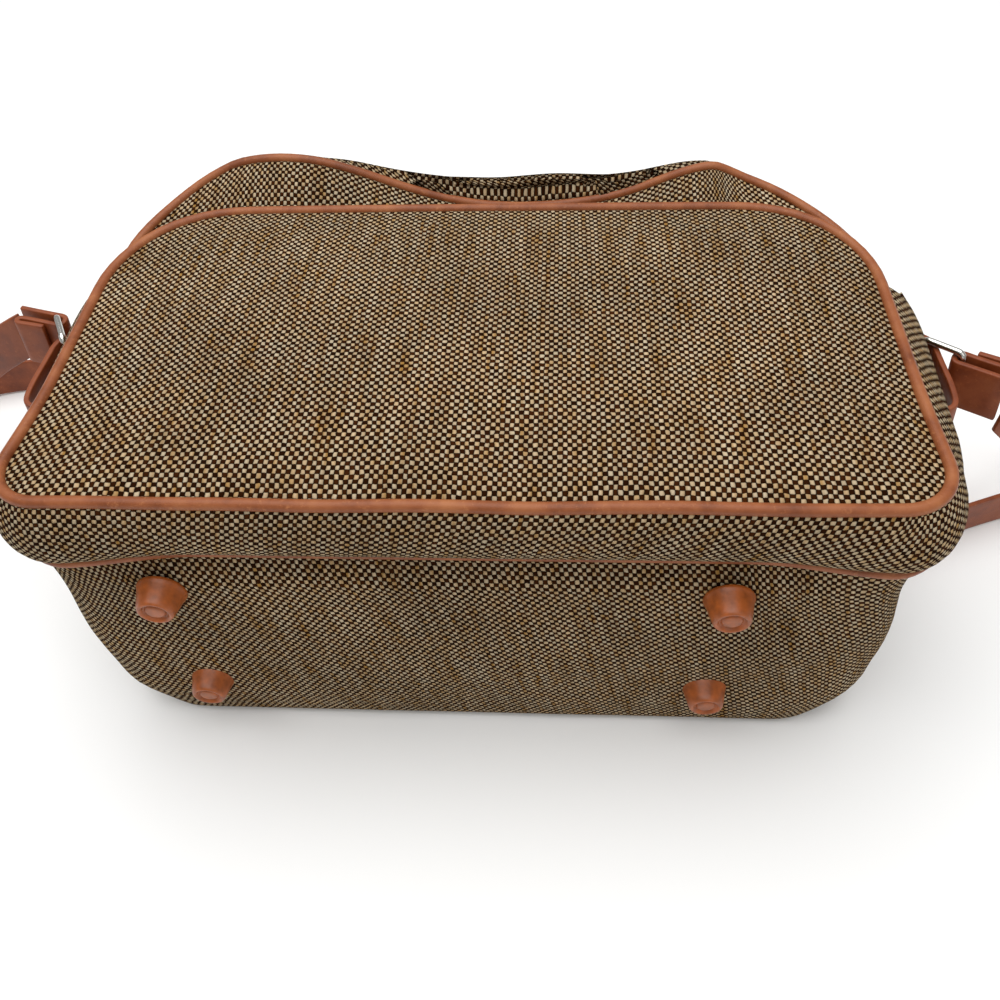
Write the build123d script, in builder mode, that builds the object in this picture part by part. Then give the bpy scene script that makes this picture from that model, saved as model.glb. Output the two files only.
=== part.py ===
"""Soft tweed camera bag with a front slip pocket, leather piping, four bottom feet and a shoulder strap.

The bag lies on its back panel: +X runs across its width, +Y up the bag from its feet to its lid, and
+Z from the back panel to the pocket. The origin is the centre of the back panel's outer face.
"""
import os
from math import atan2, cos, degrees, hypot, radians, sin, sqrt

from build123d import *

os.makedirs("parts", exist_ok=True)

# Driving dimensions, in millimetres.
bag_width = 370.0          # across the front seam
bag_height = 224.0         # feet face to lid face
seam_depth = 133.0         # back panel to the front seam, at the feet end
base_taper = 12.0          # each side, from the front seam to the back panel
top_rise = 27.0            # front seam at the lid end, above the feet end
front_low_r = 28.0
front_high_r = 50.0
back_low_r = 34.0
back_high_r = 50.0
cloth = 2.0                # tweed with its backing
piping_d = 5.0

pocket_side = 10.0         # pocket panel's edge in from the front seam, each side
pocket_drop = 38.0         # pocket's lip below the lid face
pocket_bulk = 38.0         # pocket depth at its bottom
pocket_mouth = 6.0         # gap under the lip
pocket_set = 3.0           # pocket gusset's foot, in from the front seam
pocket_low_r = 28.0
pocket_high_r = 58.0

foam = 8.0
board_t = 2.5
board_margin = 35.0        # each side, in from the back panel's edge
lining_t = 1.0
lining_low_r = 14.0
lining_high_r = 20.0
lining_margin = 13.0
fit_gap = 0.2              # between layers that are sewn or glued in
free_gap = 0.4             # round pieces that move

divider_t = 9.0
divider_x = 52.0

lid_setback = 8.0          # hinge edge of the lid, below the front seam
lid_crown = 7.0
zip_low = 14.0             # zip line along the back edge, above the back panel
zip_margin = 57.0          # zip line down each side, in from the back panel's edge
cloth_back = 4.0           # from the zip line to the cloth's edge
tape_w = 8.0
tape_t = 1.0
coil_w = 2.0
coil_gap = 0.2             # from the zip line to a coil
lid_foam_t = 4.0

slider_l = 12.0
slider_w = 9.2
slider_t = 1.4
slider_x = 7.5
bail_pin_r = 0.9
bail_rise = 2.0            # pin above the slider's plate
pull_l = 22.0
pull_w = 6.4
pull_t = 1.3
pull_eye_r = 1.25

foot_base_r = 10.5
foot_tip_r = 7.5
foot_h = 12.0
foot_rim = 1.5
foot_dish_r = 5.0
foot_dish = 0.8
foot_left_in = 44.0        # in from the back panel's edges
foot_right_in = 69.0
foot_low_z = 39.0
foot_seam_gap = 19.0       # upper feet, below the front seam
rivet_r = 2.0
rivet_head_r = 4.5
rivet_head_h = 1.2
washer_r = 6.5
washer_t = 1.0

strap_w = 25.0
strap_t = 2.4
strap_clear = 1.1          # strap's lower edge above the floor
ring_wire_r = 1.5
ring_reach = 18.0          # inner bar to outer bar
ring_end_gap = 0.6         # from a strap edge to the ring's side wire
ring_corner_r = 3.0
anchor_out = 13.0          # inner bar, out from the front seam's side
anchor_y = 1.0
anchor_lift = 3.5          # inner bar, above the seam's depth at the feet end
anchor_tilt = 8.0
ring_right_turn = -42.0    # rest directions of the rings, from straight out, up the bag
ring_left_turn = 62.0
lead_right_turn = -38.0    # directions in which the strap leaves the rings
lead_left_turn = 8.0
end_reach = 20.0           # strap end, out from the outer bar
end_fold = 13.0            # hemmed fold, out from the outer bar
patch_low = -52.0
patch_high = 29.0
patch_w = 23.0

# Shoulder strap's middle line, from the right ring round behind the bag to the left ring.
# Beside the bag a point is out from the ring's inner bar, along Y, and up as a share of the ring's height.
strap_right = [
    (29.4, -27.6, 0.99), (39, -27, 0.915), (51, -17, 0.768), (65, 0, 0.589), (81, 22, 0.386),
    (99, 42, 0.199), (117, 54, 0.052), (133, 51, 0.003), (137, 38, 0), (122, 27, 0), (93, 18, 0),
    (64, 7, 0), (38, -3, 0), (15, -7, 0), (1, 2, 0), (-5, 22, 0), (-6, 55, 0), (-7, 88, 0),
]
# Behind the bag a point is a share of the anchor's distance from the middle, and out from the lid face.
strap_behind = [
    (0.94, 8), (0.87, 40), (0.75, 68), (0.556, 89), (0.283, 100), (0, 103), (-0.293, 100),
    (-0.586, 91), (-0.848, 73),
]
strap_left = [
    (16, 158, 0), (58, 136, 0), (102, 124, 0), (144, 118, 0), (172, 104, 0.011), (181, 80, 0.068),
    (164, 58, 0.19), (134, 45, 0.378), (101, 35, 0.581), (70, 28, 0.776), (46, 24, 0.923), (29.9, 23, 0.992),
]

# Worked-out planes and places.
low_y = -bag_height / 2
high_y = bag_height / 2
base_width = bag_width - 2 * base_taper
top_depth = seam_depth + top_rise
front_tilt = atan2(top_rise, bag_height)
front_length = hypot(bag_height, top_rise)
front_plane = Plane(
    origin=(0, 0, (seam_depth + top_depth) / 2), x_dir=(1, 0, 0), z_dir=(0, -sin(front_tilt), cos(front_tilt))
)


def front_z(y):
    """Height of the front panel's face above the floor at y."""
    return (seam_depth + top_depth) / 2 + y * top_rise / bag_height


pocket_width = bag_width - 2 * pocket_side
pocket_low_y = low_y + pocket_set
pocket_high_y = high_y - pocket_drop
pocket_low_z = seam_depth + pocket_bulk
pocket_high_z = front_z(pocket_high_y) + pocket_mouth + cloth
pocket_mid_y = (pocket_low_y + pocket_high_y) / 2
pocket_run = pocket_high_y - pocket_low_y
pocket_tilt = atan2(pocket_high_z - pocket_low_z, pocket_run)
pocket_length = hypot(pocket_run, pocket_high_z - pocket_low_z)
pocket_plane = Plane(
    origin=(0, pocket_mid_y, (pocket_low_z + pocket_high_z) / 2),
    x_dir=(1, 0, 0),
    z_dir=(0, -sin(pocket_tilt), cos(pocket_tilt)),
)
lid_top = top_depth - lid_setback
zip_half = base_width / 2 - zip_margin
board_width = base_width - 2 * board_margin
lining_width = base_width - 2 * lining_margin
foot_left_x = foot_left_in - base_width / 2
foot_right_x = base_width / 2 - foot_right_in
foot_high_z = seam_depth - foot_seam_gap
anchor_x = bag_width / 2 + anchor_out
anchor_z = seam_depth + anchor_lift
strap_floor = strap_w / 2 + strap_clear
strap_rise = anchor_z - strap_floor
strap_route = [
    *((anchor_x + out, y, strap_floor + up * strap_rise) for out, y, up in strap_right),
    *((share * anchor_x, high_y + out, strap_floor) for share, out in strap_behind),
    *((-anchor_x - out, y, strap_floor + up * strap_rise) for out, y, up in strap_left),
]
window_half = zip_half + cloth_back
window_low = zip_low - cloth_back
lid_half = zip_half - cloth_back
lid_low = zip_low + cloth_back
lid_mid = (lid_low + lid_top) / 2
crown_r = ((lid_top - lid_low) ** 2 / 4 + lid_crown**2) / (2 * lid_crown)
crown_y = high_y + lid_crown - crown_r
board_y = low_y + cloth + 2 * fit_gap
foam_y = board_y + board_t + fit_gap
lining_low = foam_y + foam + fit_gap
lining_high = high_y - 10.0
lining_floor = cloth + foam + 3 * fit_gap
lining_drop = cloth + foam + 2 * fit_gap
pad_floor = lining_floor + fit_gap
pad_ceiling = seam_depth - cloth - foam - 2.0


def outline(plane, width, length, low_r, high_r, centre=0.0):
    """Rounded panel outline: low_r at the feet end, high_r at the lid end."""
    with BuildSketch(plane) as panel:
        with Locations((0, centre)):
            Rectangle(width, length)
        fillet(panel.vertices().group_by(Axis.Y)[0], low_r)
        fillet(panel.vertices().group_by(Axis.Y)[-1], high_r)
    return panel.sketch


def body_block(inset, floor, drop):
    """The body's volume, with its sides set in, from floor to drop under the front face."""
    back = outline(
        Plane.XY.offset(floor),
        base_width - 2 * inset,
        bag_height - 2 * inset,
        back_low_r - inset,
        back_high_r - inset,
    )
    front = outline(
        front_plane.offset(-drop),
        bag_width - 2 * inset,
        front_length - 2 * inset,
        front_low_r - inset,
        front_high_r - inset,
    )
    with BuildPart() as block:
        loft(sections=[back, front], ruled=True)
    return block.part


def pocket_block(inset):
    """The pocket's volume under its panel, with its sides set in."""
    slope = cos(front_tilt)
    foot = outline(
        front_plane,
        bag_width - 2 * (pocket_set + inset),
        pocket_run / slope - 2 * inset,
        front_low_r - pocket_set - inset,
        pocket_high_r - inset,
        centre=pocket_mid_y / slope,
    )
    lip = outline(
        pocket_plane.offset(-cloth),
        pocket_width - 2 * inset,
        pocket_length - 2 * inset,
        pocket_low_r - inset,
        pocket_high_r - inset,
    )
    with BuildPart() as block:
        loft(sections=[foot, lip], ruled=True)
    return block.part


def piping_loop(face):
    """Round piping sewn along the outer edge of a panel outline."""
    edge = face.face().outer_wire()
    with BuildPart() as loop:
        with BuildSketch(Plane(origin=edge @ 0, z_dir=edge % 0)):
            Circle(piping_d / 2)
        sweep(path=edge)
    return loop.part


def slab(x_low, x_high, y_low, y_high, z_low, z_high):
    """A plain block between two corners."""
    with BuildPart() as block:
        with Locations(((x_low + x_high) / 2, (y_low + y_high) / 2, (z_low + z_high) / 2)):
            Box(x_high - x_low, y_high - y_low, z_high - z_low)
    return block.part


# Piping round the three panels.
front_outline = outline(front_plane, bag_width, front_length, front_low_r, front_high_r)
with BuildPart() as front_piping:
    add(piping_loop(front_outline))
front_piping.part.label = "front_piping"
export_step(front_piping.part, "parts/front_piping.step")

back_outline = outline(Plane.XY.offset(piping_d / 2), base_width, bag_height, back_low_r, back_high_r)
with BuildPart() as back_piping:
    add(piping_loop(back_outline))
back_piping.part.label = "back_piping"
export_step(back_piping.part, "parts/back_piping.step")

pocket_outline = outline(pocket_plane, pocket_width, pocket_length, pocket_low_r, pocket_high_r)
with BuildPart() as pocket_piping:
    add(piping_loop(pocket_outline))
pocket_piping.part.label = "pocket_piping"
export_step(pocket_piping.part, "parts/pocket_piping.step")

# Cloth panels and gussets of the body.
body_outer = body_block(0, 0, 0)
body_inner = body_block(cloth, cloth, cloth)

with BuildPart() as back_panel:
    add(body_outer)
    split(bisect_by=Plane.XY.offset(cloth), keep=Keep.BOTTOM)
    add(back_piping.part, mode=Mode.SUBTRACT)
back_panel.part.label = "back_panel"
export_step(back_panel.part, "parts/back_panel.step")

with BuildPart() as front_panel:
    add(body_outer)
    split(bisect_by=front_plane.offset(-cloth), keep=Keep.TOP)
    add(front_piping.part, mode=Mode.SUBTRACT)
front_panel.part.label = "front_panel"
export_step(front_panel.part, "parts/front_panel.step")

with BuildPart() as gusset_ring:
    add(body_outer)
    split(bisect_by=Plane.XY.offset(cloth), keep=Keep.TOP)
    split(bisect_by=front_plane.offset(-cloth), keep=Keep.BOTTOM)
    add(body_inner, mode=Mode.SUBTRACT)
    add(front_piping.part, mode=Mode.SUBTRACT)
    add(back_piping.part, mode=Mode.SUBTRACT)

foot_places = [(x, z) for x in (foot_left_x, foot_right_x) for z in (foot_low_z, foot_high_z)]
foot_plane = Plane(origin=(0, low_y, 0), x_dir=(1, 0, 0), z_dir=(0, -1, 0))
gusset_seam = Plane.XZ.offset(-(high_y - back_high_r))

with BuildPart() as body_gusset:
    add(gusset_ring.part)
    split(bisect_by=gusset_seam, keep=Keep.TOP)
    with BuildSketch(foot_plane):
        with Locations(*foot_places):
            Circle(rivet_r)
    extrude(amount=-2 * cloth, mode=Mode.SUBTRACT)
body_gusset.part.label = "body_gusset"
export_step(body_gusset.part, "parts/body_gusset.step")

with BuildPart() as top_gusset:
    add(gusset_ring.part)
    split(bisect_by=gusset_seam, keep=Keep.BOTTOM)
    add(slab(-window_half, window_half, high_y - 5 * cloth, high_y + 5 * cloth, window_low, lid_top + 1.0),
        mode=Mode.SUBTRACT)
top_gusset.part.label = "top_gusset"
export_step(top_gusset.part, "parts/top_gusset.step")

# Front slip pocket.
with BuildPart() as pocket_panel:
    extrude(outline(pocket_plane, pocket_width, pocket_length, pocket_low_r, pocket_high_r), amount=-cloth)
    add(pocket_piping.part, mode=Mode.SUBTRACT)
pocket_panel.part.label = "pocket_panel"
export_step(pocket_panel.part, "parts/pocket_panel.step")

with BuildPart() as pocket_gusset:
    add(pocket_block(0))
    add(pocket_block(cloth), mode=Mode.SUBTRACT)
    add(slab(-bag_width, bag_width, pocket_high_y - pocket_high_r, high_y, 0, 2 * top_depth),
        mode=Mode.SUBTRACT)
    add(pocket_piping.part, mode=Mode.SUBTRACT)
pocket_gusset.part.label = "pocket_gusset"
export_step(pocket_gusset.part, "parts/pocket_gusset.step")

# Base board, foam pads and lining inside.
with BuildPart() as base_board:
    add(slab(-board_width / 2, board_width / 2, board_y, board_y + board_t, pad_floor, pad_ceiling))
    with BuildSketch(foot_plane):
        with Locations(*foot_places):
            Circle(rivet_r)
    extrude(amount=-3 * board_t, mode=Mode.SUBTRACT)
base_board.part.label = "base_board"
export_step(base_board.part, "parts/base_board.step")

pocket_depth = washer_t + rivet_head_h + fit_gap
with BuildPart() as base_foam:
    add(slab(-board_width / 2, board_width / 2, foam_y, foam_y + foam, pad_floor, pad_ceiling))
    with BuildSketch(foot_plane.offset(-(foam_y - low_y))):
        with Locations(*foot_places):
            Circle(washer_r + fit_gap)
    extrude(amount=-pocket_depth, mode=Mode.SUBTRACT)
base_foam.part.label = "base_foam"
export_step(base_foam.part, "parts/base_foam.step")

pad_inset = 2 * cloth
with BuildPart() as back_foam:
    extrude(
        outline(
            Plane.XY.offset(cloth + fit_gap),
            base_width - 2 * pad_inset,
            bag_height - 2 * pad_inset,
            back_low_r - pad_inset,
            back_high_r - pad_inset,
        ),
        amount=foam,
    )
    add(slab(-bag_width, bag_width, lining_high, high_y, 0, seam_depth), mode=Mode.SUBTRACT)
back_foam.part.label = "back_foam"
export_step(back_foam.part, "parts/back_foam.step")

with BuildPart() as front_foam:
    extrude(
        outline(
            front_plane.offset(-cloth - fit_gap),
            bag_width - 3 * pad_inset,
            front_length - 2 * pad_inset,
            front_low_r - pad_inset,
            front_high_r - pad_inset,
        ),
        amount=-foam,
    )
    add(slab(-bag_width, bag_width, lining_high, high_y, 0, 2 * top_depth), mode=Mode.SUBTRACT)
front_foam.part.label = "front_foam"
export_step(front_foam.part, "parts/front_foam.step")

foam_x = lining_width / 2 + fit_gap
foam_half_y = bag_height / 2 - back_high_r - cloth
for side, name in ((-1, "left_foam"), (1, "right_foam")):
    with BuildPart() as side_foam:
        inner_x, outer_x = sorted((side * foam_x, side * (foam_x + foam)))
        add(slab(inner_x, outer_x, -foam_half_y, foam_half_y, pad_floor, pad_ceiling))
    side_foam.part.label = name
    export_step(side_foam.part, f"parts/{name}.step")


def lining_block(inset, extra):
    """The lining's volume, set in all round, reaching extra under the front pad."""
    length = lining_high - lining_low - 2 * inset
    with BuildPart() as block:
        extrude(
            outline(
                Plane.XY.offset(lining_floor + inset),
                lining_width - 2 * inset,
                length,
                lining_low_r - inset,
                lining_high_r - inset,
                centre=(lining_low + lining_high) / 2,
            ),
            amount=2 * top_depth,
        )
        split(bisect_by=front_plane.offset(-lining_drop - extra), keep=Keep.BOTTOM)
    return block.part


mouth_half = lid_half - 6.0
with BuildPart() as lining:
    add(lining_block(0, 0))
    add(lining_block(lining_t, lining_t), mode=Mode.SUBTRACT)
    add(slab(-mouth_half, mouth_half, lining_high - 3 * lining_t, high_y, lid_low + 4.0, lid_top - 14.0),
        mode=Mode.SUBTRACT)
lining.part.label = "lining"
export_step(lining.part, "parts/lining.step")

for side, name in ((-1, "divider_left"), (1, "divider_right")):
    with BuildPart() as divider:
        middle = side * divider_x
        inner = lining_t + free_gap
        add(slab(middle - divider_t / 2, middle + divider_t / 2, lining_low + inner, high_y - 26.0,
                 lining_floor + inner, 2 * top_depth))
        split(bisect_by=front_plane.offset(-lining_drop - inner), keep=Keep.BOTTOM)
    divider.part.label = name
    export_step(divider.part, f"parts/{name}.step")


# Lid: crowned cloth, foam and lining, hinged at its front edge.
def lid_layer(outer_depth, inner_depth, z_low, z_high, half):
    """One layer of the crowned lid, between two depths under its outer face."""
    def on_crown(depth, z):
        return crown_y + sqrt((crown_r - depth) ** 2 - (z - lid_mid) ** 2)

    with BuildPart() as layer:
        with BuildSketch(Plane.YZ):
            with BuildLine():
                outer = ThreePointArc(
                    (on_crown(outer_depth, z_high), z_high),
                    (on_crown(outer_depth, lid_mid), lid_mid),
                    (on_crown(outer_depth, z_low), z_low),
                )
                inner = ThreePointArc(
                    (on_crown(inner_depth, z_high), z_high),
                    (on_crown(inner_depth, lid_mid), lid_mid),
                    (on_crown(inner_depth, z_low), z_low),
                )
                Line(outer @ 0, inner @ 0)
                Line(outer @ 1, inner @ 1)
            make_face()
        extrude(amount=half, both=True)
    return layer.part


with BuildPart() as lid_panel:
    add(lid_layer(0, cloth, lid_low, lid_top, lid_half))
lid_panel.part.label = "lid_panel"
export_step(lid_panel.part, "parts/lid_panel.step")

lid_inset = tape_w + cloth_back
lid_foam_in = cloth + fit_gap + lid_foam_t
with BuildPart() as lid_foam:
    add(lid_layer(cloth + fit_gap, lid_foam_in, lid_low + lid_inset, lid_top - lid_inset, lid_half - lid_inset))
lid_foam.part.label = "lid_foam"
export_step(lid_foam.part, "parts/lid_foam.step")

with BuildPart() as lid_lining:
    add(lid_layer(lid_foam_in + fit_gap, lid_foam_in + fit_gap + lining_t,
                  lid_low + lid_inset / 2, lid_top - lid_inset / 2, lid_half - lid_inset / 2))
lid_lining.part.label = "lid_lining"
export_step(lid_lining.part, "parts/lid_lining.step")


# Zip: tapes and coils run down one side of the lid, along its back edge and up the other side.
def zip_band(near, far, y_low, y_high, top):
    """A U-shaped band between two distances outside the zip line, both signed."""
    with BuildPart() as band:
        with BuildSketch(Plane.XZ.offset(-y_low)):
            wide = zip_half + far
            narrow = zip_half + near
            with BuildLine():
                Polyline(
                    (-wide, top), (-wide, zip_low - far), (wide, zip_low - far), (wide, top),
                    (narrow, top), (narrow, zip_low - near), (-narrow, zip_low - near), (-narrow, top),
                    close=True,
                )
            make_face()
        extrude(amount=-(y_high - y_low))
    return band.part


tape_y = high_y - cloth - fit_gap - tape_t
coil_y = tape_y + tape_t
coil_top = coil_y + coil_w
zip_end = lid_top - 4.0
with BuildPart() as body_zip_tape:
    add(zip_band(coil_gap + coil_w / 2, coil_gap + tape_w, tape_y, coil_y, zip_end))
body_zip_tape.part.label = "body_zip_tape"
export_step(body_zip_tape.part, "parts/body_zip_tape.step")

with BuildPart() as lid_zip_tape:
    add(zip_band(-coil_gap - tape_w, -coil_gap - coil_w / 2, tape_y, coil_y, zip_end))
lid_zip_tape.part.label = "lid_zip_tape"
export_step(lid_zip_tape.part, "parts/lid_zip_tape.step")

with BuildPart() as body_zip_coil:
    add(zip_band(coil_gap, coil_gap + coil_w, coil_y, coil_top, zip_end - 3.0))
body_zip_coil.part.label = "body_zip_coil"
export_step(body_zip_coil.part, "parts/body_zip_coil.step")

with BuildPart() as lid_zip_coil:
    add(zip_band(-coil_gap - coil_w, -coil_gap, coil_y, coil_top, zip_end - 3.0))
lid_zip_coil.part.label = "lid_zip_coil"
export_step(lid_zip_coil.part, "parts/lid_zip_coil.step")

stop_x = zip_half + coil_gap + coil_w / 2
with BuildPart() as zip_stops:
    for side in (-1, 1):
        middle = side * stop_x
        add(slab(middle - coil_w / 2, middle + coil_w / 2, coil_y, coil_top, zip_end - 3.0, zip_end))
zip_stops.part.label = "zip_stops"
export_step(zip_stops.part, "parts/zip_stops.step")

plate_y = high_y + free_gap
pin_y = plate_y + slider_t + bail_rise
flange_far = slider_w / 2 - 1.0
flange_near = coil_gap + coil_w + 0.3
for side, name in ((-1, "left"), (1, "right")):
    middle = side * slider_x
    with BuildPart() as slider:
        add(slab(middle - slider_l / 2, middle + slider_l / 2, plate_y, plate_y + slider_t,
                 zip_low - slider_w / 2, zip_low + slider_w / 2))
        fillet(slider.edges().filter_by(Axis.Y), 3.0)
        for edge in (-1, 1):
            z_low, z_high = sorted((zip_low + edge * flange_near, zip_low + edge * flange_far))
            add(slab(middle - slider_l / 3, middle + slider_l / 3, coil_y + 0.5, plate_y, z_low, z_high))
            z_low, z_high = sorted((zip_low + edge * (pull_w / 2 - 1.8), zip_low + edge * (pull_w / 2 - 0.9)))
            add(slab(middle - 1.6, middle + 1.6, plate_y + slider_t, pin_y + 1.4, z_low, z_high))
        with BuildSketch(Plane(origin=(middle, pin_y, zip_low), z_dir=(0, 0, 1))):
            Circle(bail_pin_r)
        extrude(amount=pull_w / 2 - 1.8, both=True)
    slider.part.label = f"slider_{name}"
    export_step(slider.part, f"parts/slider_{name}.step")

    eye_half = pull_w / 2 - 1.8 - 0.3
    with BuildPart() as pull:
        with BuildSketch(Plane(origin=(middle, pin_y, zip_low), z_dir=(0, 0, 1))):
            Circle(pull_eye_r + 0.7)
            Circle(pull_eye_r, mode=Mode.SUBTRACT)
        extrude(amount=eye_half, both=True)
        x_low, x_high = sorted((middle + side * (pull_eye_r + 0.2), middle + side * (pull_eye_r + 5.0)))
        add(slab(x_low, x_high, pin_y - pull_t / 2, pin_y + pull_t / 2, zip_low - eye_half, zip_low + eye_half))
        x_low, x_high = sorted((middle + side * (pull_eye_r + 4.0), middle + side * pull_l))
        add(slab(x_low, x_high, pin_y - pull_t / 2, pin_y + pull_t / 2, zip_low - pull_w / 2, zip_low + pull_w / 2))
        tip = pull.edges().filter_by(Axis.Y).sort_by(Axis.X)
        fillet(tip[-2:] if side > 0 else tip[:2], pull_w / 2 - 0.4)
    pull.part.label = f"pull_{name}"
    export_step(pull.part, f"parts/pull_{name}.step")

# Feet: turned cones riveted through the gusset and the board.
with BuildPart() as feet:
    for x, z in foot_places:
        with BuildSketch(Plane(origin=(x, low_y, z), x_dir=(1, 0, 0), z_dir=(0, 0, 1))) as profile:
            with BuildLine():
                Polyline(
                    (0, 0), (foot_base_r, 0), (foot_base_r, -foot_rim), (foot_base_r - 0.8, -foot_rim - 0.4),
                    (foot_tip_r, -foot_h + 0.8), (foot_tip_r - 0.8, -foot_h), (foot_dish_r, -foot_h),
                    (foot_dish_r - 0.4, -foot_h + foot_dish), (0, -foot_h + foot_dish), close=True,
                )
            make_face()
            with Locations((rivet_r / 2, -1.5 * foot_rim)):
                Rectangle(rivet_r, 3 * foot_rim, mode=Mode.SUBTRACT)
        revolve(axis=Axis((x, low_y, z), (0, 1, 0)))
feet.part.label = "feet"
export_step(feet.part, "parts/feet.step")

board_in = board_y + board_t
washer_in = board_in + washer_t
with BuildPart() as foot_rivets:
    with BuildSketch(foot_plane.offset(3 * foot_rim)):
        with Locations(*foot_places):
            Circle(rivet_r)
    extrude(amount=-(3 * foot_rim + washer_in - low_y))
    with BuildSketch(foot_plane.offset(low_y - washer_in)):
        with Locations(*foot_places):
            Circle(rivet_head_r)
    extrude(amount=-rivet_head_h)
foot_rivets.part.label = "foot_rivets"
export_step(foot_rivets.part, "parts/foot_rivets.step")

with BuildPart() as foot_washers:
    with BuildSketch(foot_plane.offset(low_y - board_in)):
        with Locations(*foot_places):
            Circle(washer_r)
            Circle(rivet_r, mode=Mode.SUBTRACT)
    extrude(amount=-washer_t)
foot_washers.part.label = "foot_washers"
export_step(foot_washers.part, "parts/foot_washers.step")

# Strap anchors, one on each side. Each is drawn on the right, in a plane tilted with the bag's side.
tilt = radians(anchor_tilt)
anchor_plane = Plane(
    origin=(anchor_x, anchor_y, anchor_z), x_dir=(cos(tilt), 0, sin(tilt)), z_dir=(-sin(tilt), 0, cos(tilt))
)
chape_wall = -6.5
chape_route = [
    (chape_wall, patch_high - 2.0), (chape_wall, 9.0), (4.8, 1.8), (9.6, -28.0), (6.0, -43.0),
    (chape_wall, -42.0), (chape_wall, -24.0),
]
chape_radii = [4.0, 4.0, 10.0, 5.0, 3.5]


def strip(route, radii, width):
    """A leather strip standing on edge, along a route in the anchor plane."""
    with BuildLine() as line:
        FilletPolyline(*route, radius=radii)
    with BuildSketch(anchor_plane) as face:
        trace(line.line, line_width=strap_t)
    with BuildPart() as leather:
        extrude(face.sketch, amount=width / 2, both=True)
    return leather.part


def turned(point, turn):
    """A point given out and across, turned into the anchor plane's own directions."""
    out, across = point
    return (out * cos(turn) - across * sin(turn), out * sin(turn) + across * cos(turn))


def placed(part, side):
    """The right-hand piece itself, or its mirror image for the left side."""
    return part if side > 0 else mirror(part, about=Plane.YZ)


chape = strip(chape_route, chape_radii, strap_w)
with BuildPart() as patch_blank:
    with Locations(Location(anchor_plane)):
        with Locations((chape_wall - strap_t / 2 - 7.0, (patch_low + patch_high) / 2, 0)):
            Box(14.0, patch_high - patch_low, patch_w)
    add(body_outer, mode=Mode.SUBTRACT)
    add(front_piping.part, mode=Mode.SUBTRACT)
    add(pocket_block(0), mode=Mode.SUBTRACT)
    add(pocket_piping.part, mode=Mode.SUBTRACT)

ring_half = strap_w / 2 + ring_end_gap + ring_wire_r


def ring_part(turn):
    """Rectangular wire ring: the inner bar is on the anchor's axis, the outer bar ring_reach away."""
    frame = Plane(
        origin=anchor_plane.origin,
        x_dir=anchor_plane.x_dir * cos(turn) + anchor_plane.y_dir * sin(turn),
        z_dir=anchor_plane.y_dir * cos(turn) - anchor_plane.x_dir * sin(turn),
    )
    with BuildSketch(frame) as loop:
        with Locations((ring_reach / 2, 0)):
            RectangleRounded(ring_reach, 2 * ring_half, ring_corner_r)
    wire = loop.sketch.face().outer_wire()
    with BuildPart() as ring:
        with BuildSketch(Plane(origin=wire @ 0, z_dir=wire % 0)):
            Circle(ring_wire_r)
        sweep(path=wire)
    return ring.part


bend = ring_wire_r + free_gap + strap_t / 2
hem = 2 * bend + strap_t


def strap_end_part(turn, lead, hem_side):
    """The strap's end: round the outer bar, out to a fold, and back as a hem."""
    outer_bar = turned((ring_reach, 0), turn)
    points = [
        (end_reach, -hem_side * bend),
        (-bend, -hem_side * bend),
        (-bend, hem_side * bend),
        (end_fold, hem_side * bend),
        (end_fold, hem_side * (bend + hem)),
        (2.0, hem_side * (bend + hem - 2.0)),
    ]
    route = []
    for point in points:
        out, across = turned(point, lead)
        route.append((outer_bar[0] + out, outer_bar[1] + across))
    return strip(route, [bend * 0.98, bend * 0.98, 3.0, 3.0], strap_w)


sides = (
    (-1, "left", radians(ring_left_turn), radians(lead_left_turn)),
    (1, "right", radians(ring_right_turn), radians(lead_right_turn)),
)
for side, name, turn, lead in sides:
    with BuildPart() as anchor_patch:
        add(placed(patch_blank.part, side))
    anchor_patch.part.label = f"anchor_patch_{name}"
    export_step(anchor_patch.part, f"parts/anchor_patch_{name}.step")

    with BuildPart() as chape_strip:
        add(placed(chape, side))
    chape_strip.part.label = f"chape_{name}"
    export_step(chape_strip.part, f"parts/chape_{name}.step")

    with BuildPart() as strap_ring:
        add(placed(ring_part(turn), side))
    strap_ring.part.label = f"ring_{name}"
    export_step(strap_ring.part, f"parts/ring_{name}.step")

    with BuildPart() as strap_end:
        add(placed(strap_end_part(turn, lead, side), side))
    strap_end.part.label = f"strap_end_{name}"
    export_step(strap_end.part, f"parts/strap_end_{name}.step")

# Shoulder strap: straight runs standing on edge, joined by round corners.
with BuildPart() as shoulder_strap:
    for start, finish in zip(strap_route, strap_route[1:]):
        run = Vector(*finish) - Vector(*start)
        level = Vector(run.X, run.Y, 0)
        with BuildSketch(Plane(origin=start, x_dir=level, z_dir=level.cross(Vector(0, 0, 1)))):
            with BuildLine():
                Polyline(
                    (0, -strap_w / 2), (level.length, run.Z - strap_w / 2),
                    (level.length, run.Z + strap_w / 2), (0, strap_w / 2), close=True,
                )
            make_face()
        extrude(amount=strap_t / 2, both=True)
    for x, y, z in strap_route[1:-1]:
        with BuildSketch(Plane.XY.offset(z - strap_w / 2)):
            with Locations((x, y)):
                Circle(strap_t / 2)
        extrude(amount=strap_w)
shoulder_strap.part.label = "shoulder_strap"
export_step(shoulder_strap.part, "parts/shoulder_strap.step")

route_length = sum((Vector(*b) - Vector(*a)).length for a, b in zip(strap_route, strap_route[1:]))
print(f"shoulder strap {route_length:.0f} mm, volume over section times length "
      f"{shoulder_strap.part.volume / (route_length * strap_w * strap_t):.3f}")
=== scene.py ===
"""Looks of a soft tweed camera bag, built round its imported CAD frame.

The bag lies on its back panel: +X runs across it, +Y up the bag from its feet to its lid, and +Z from the
floor to the front pocket. Every length is in metres.
"""

from math import cos, pi, radians, sin, sqrt

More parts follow.
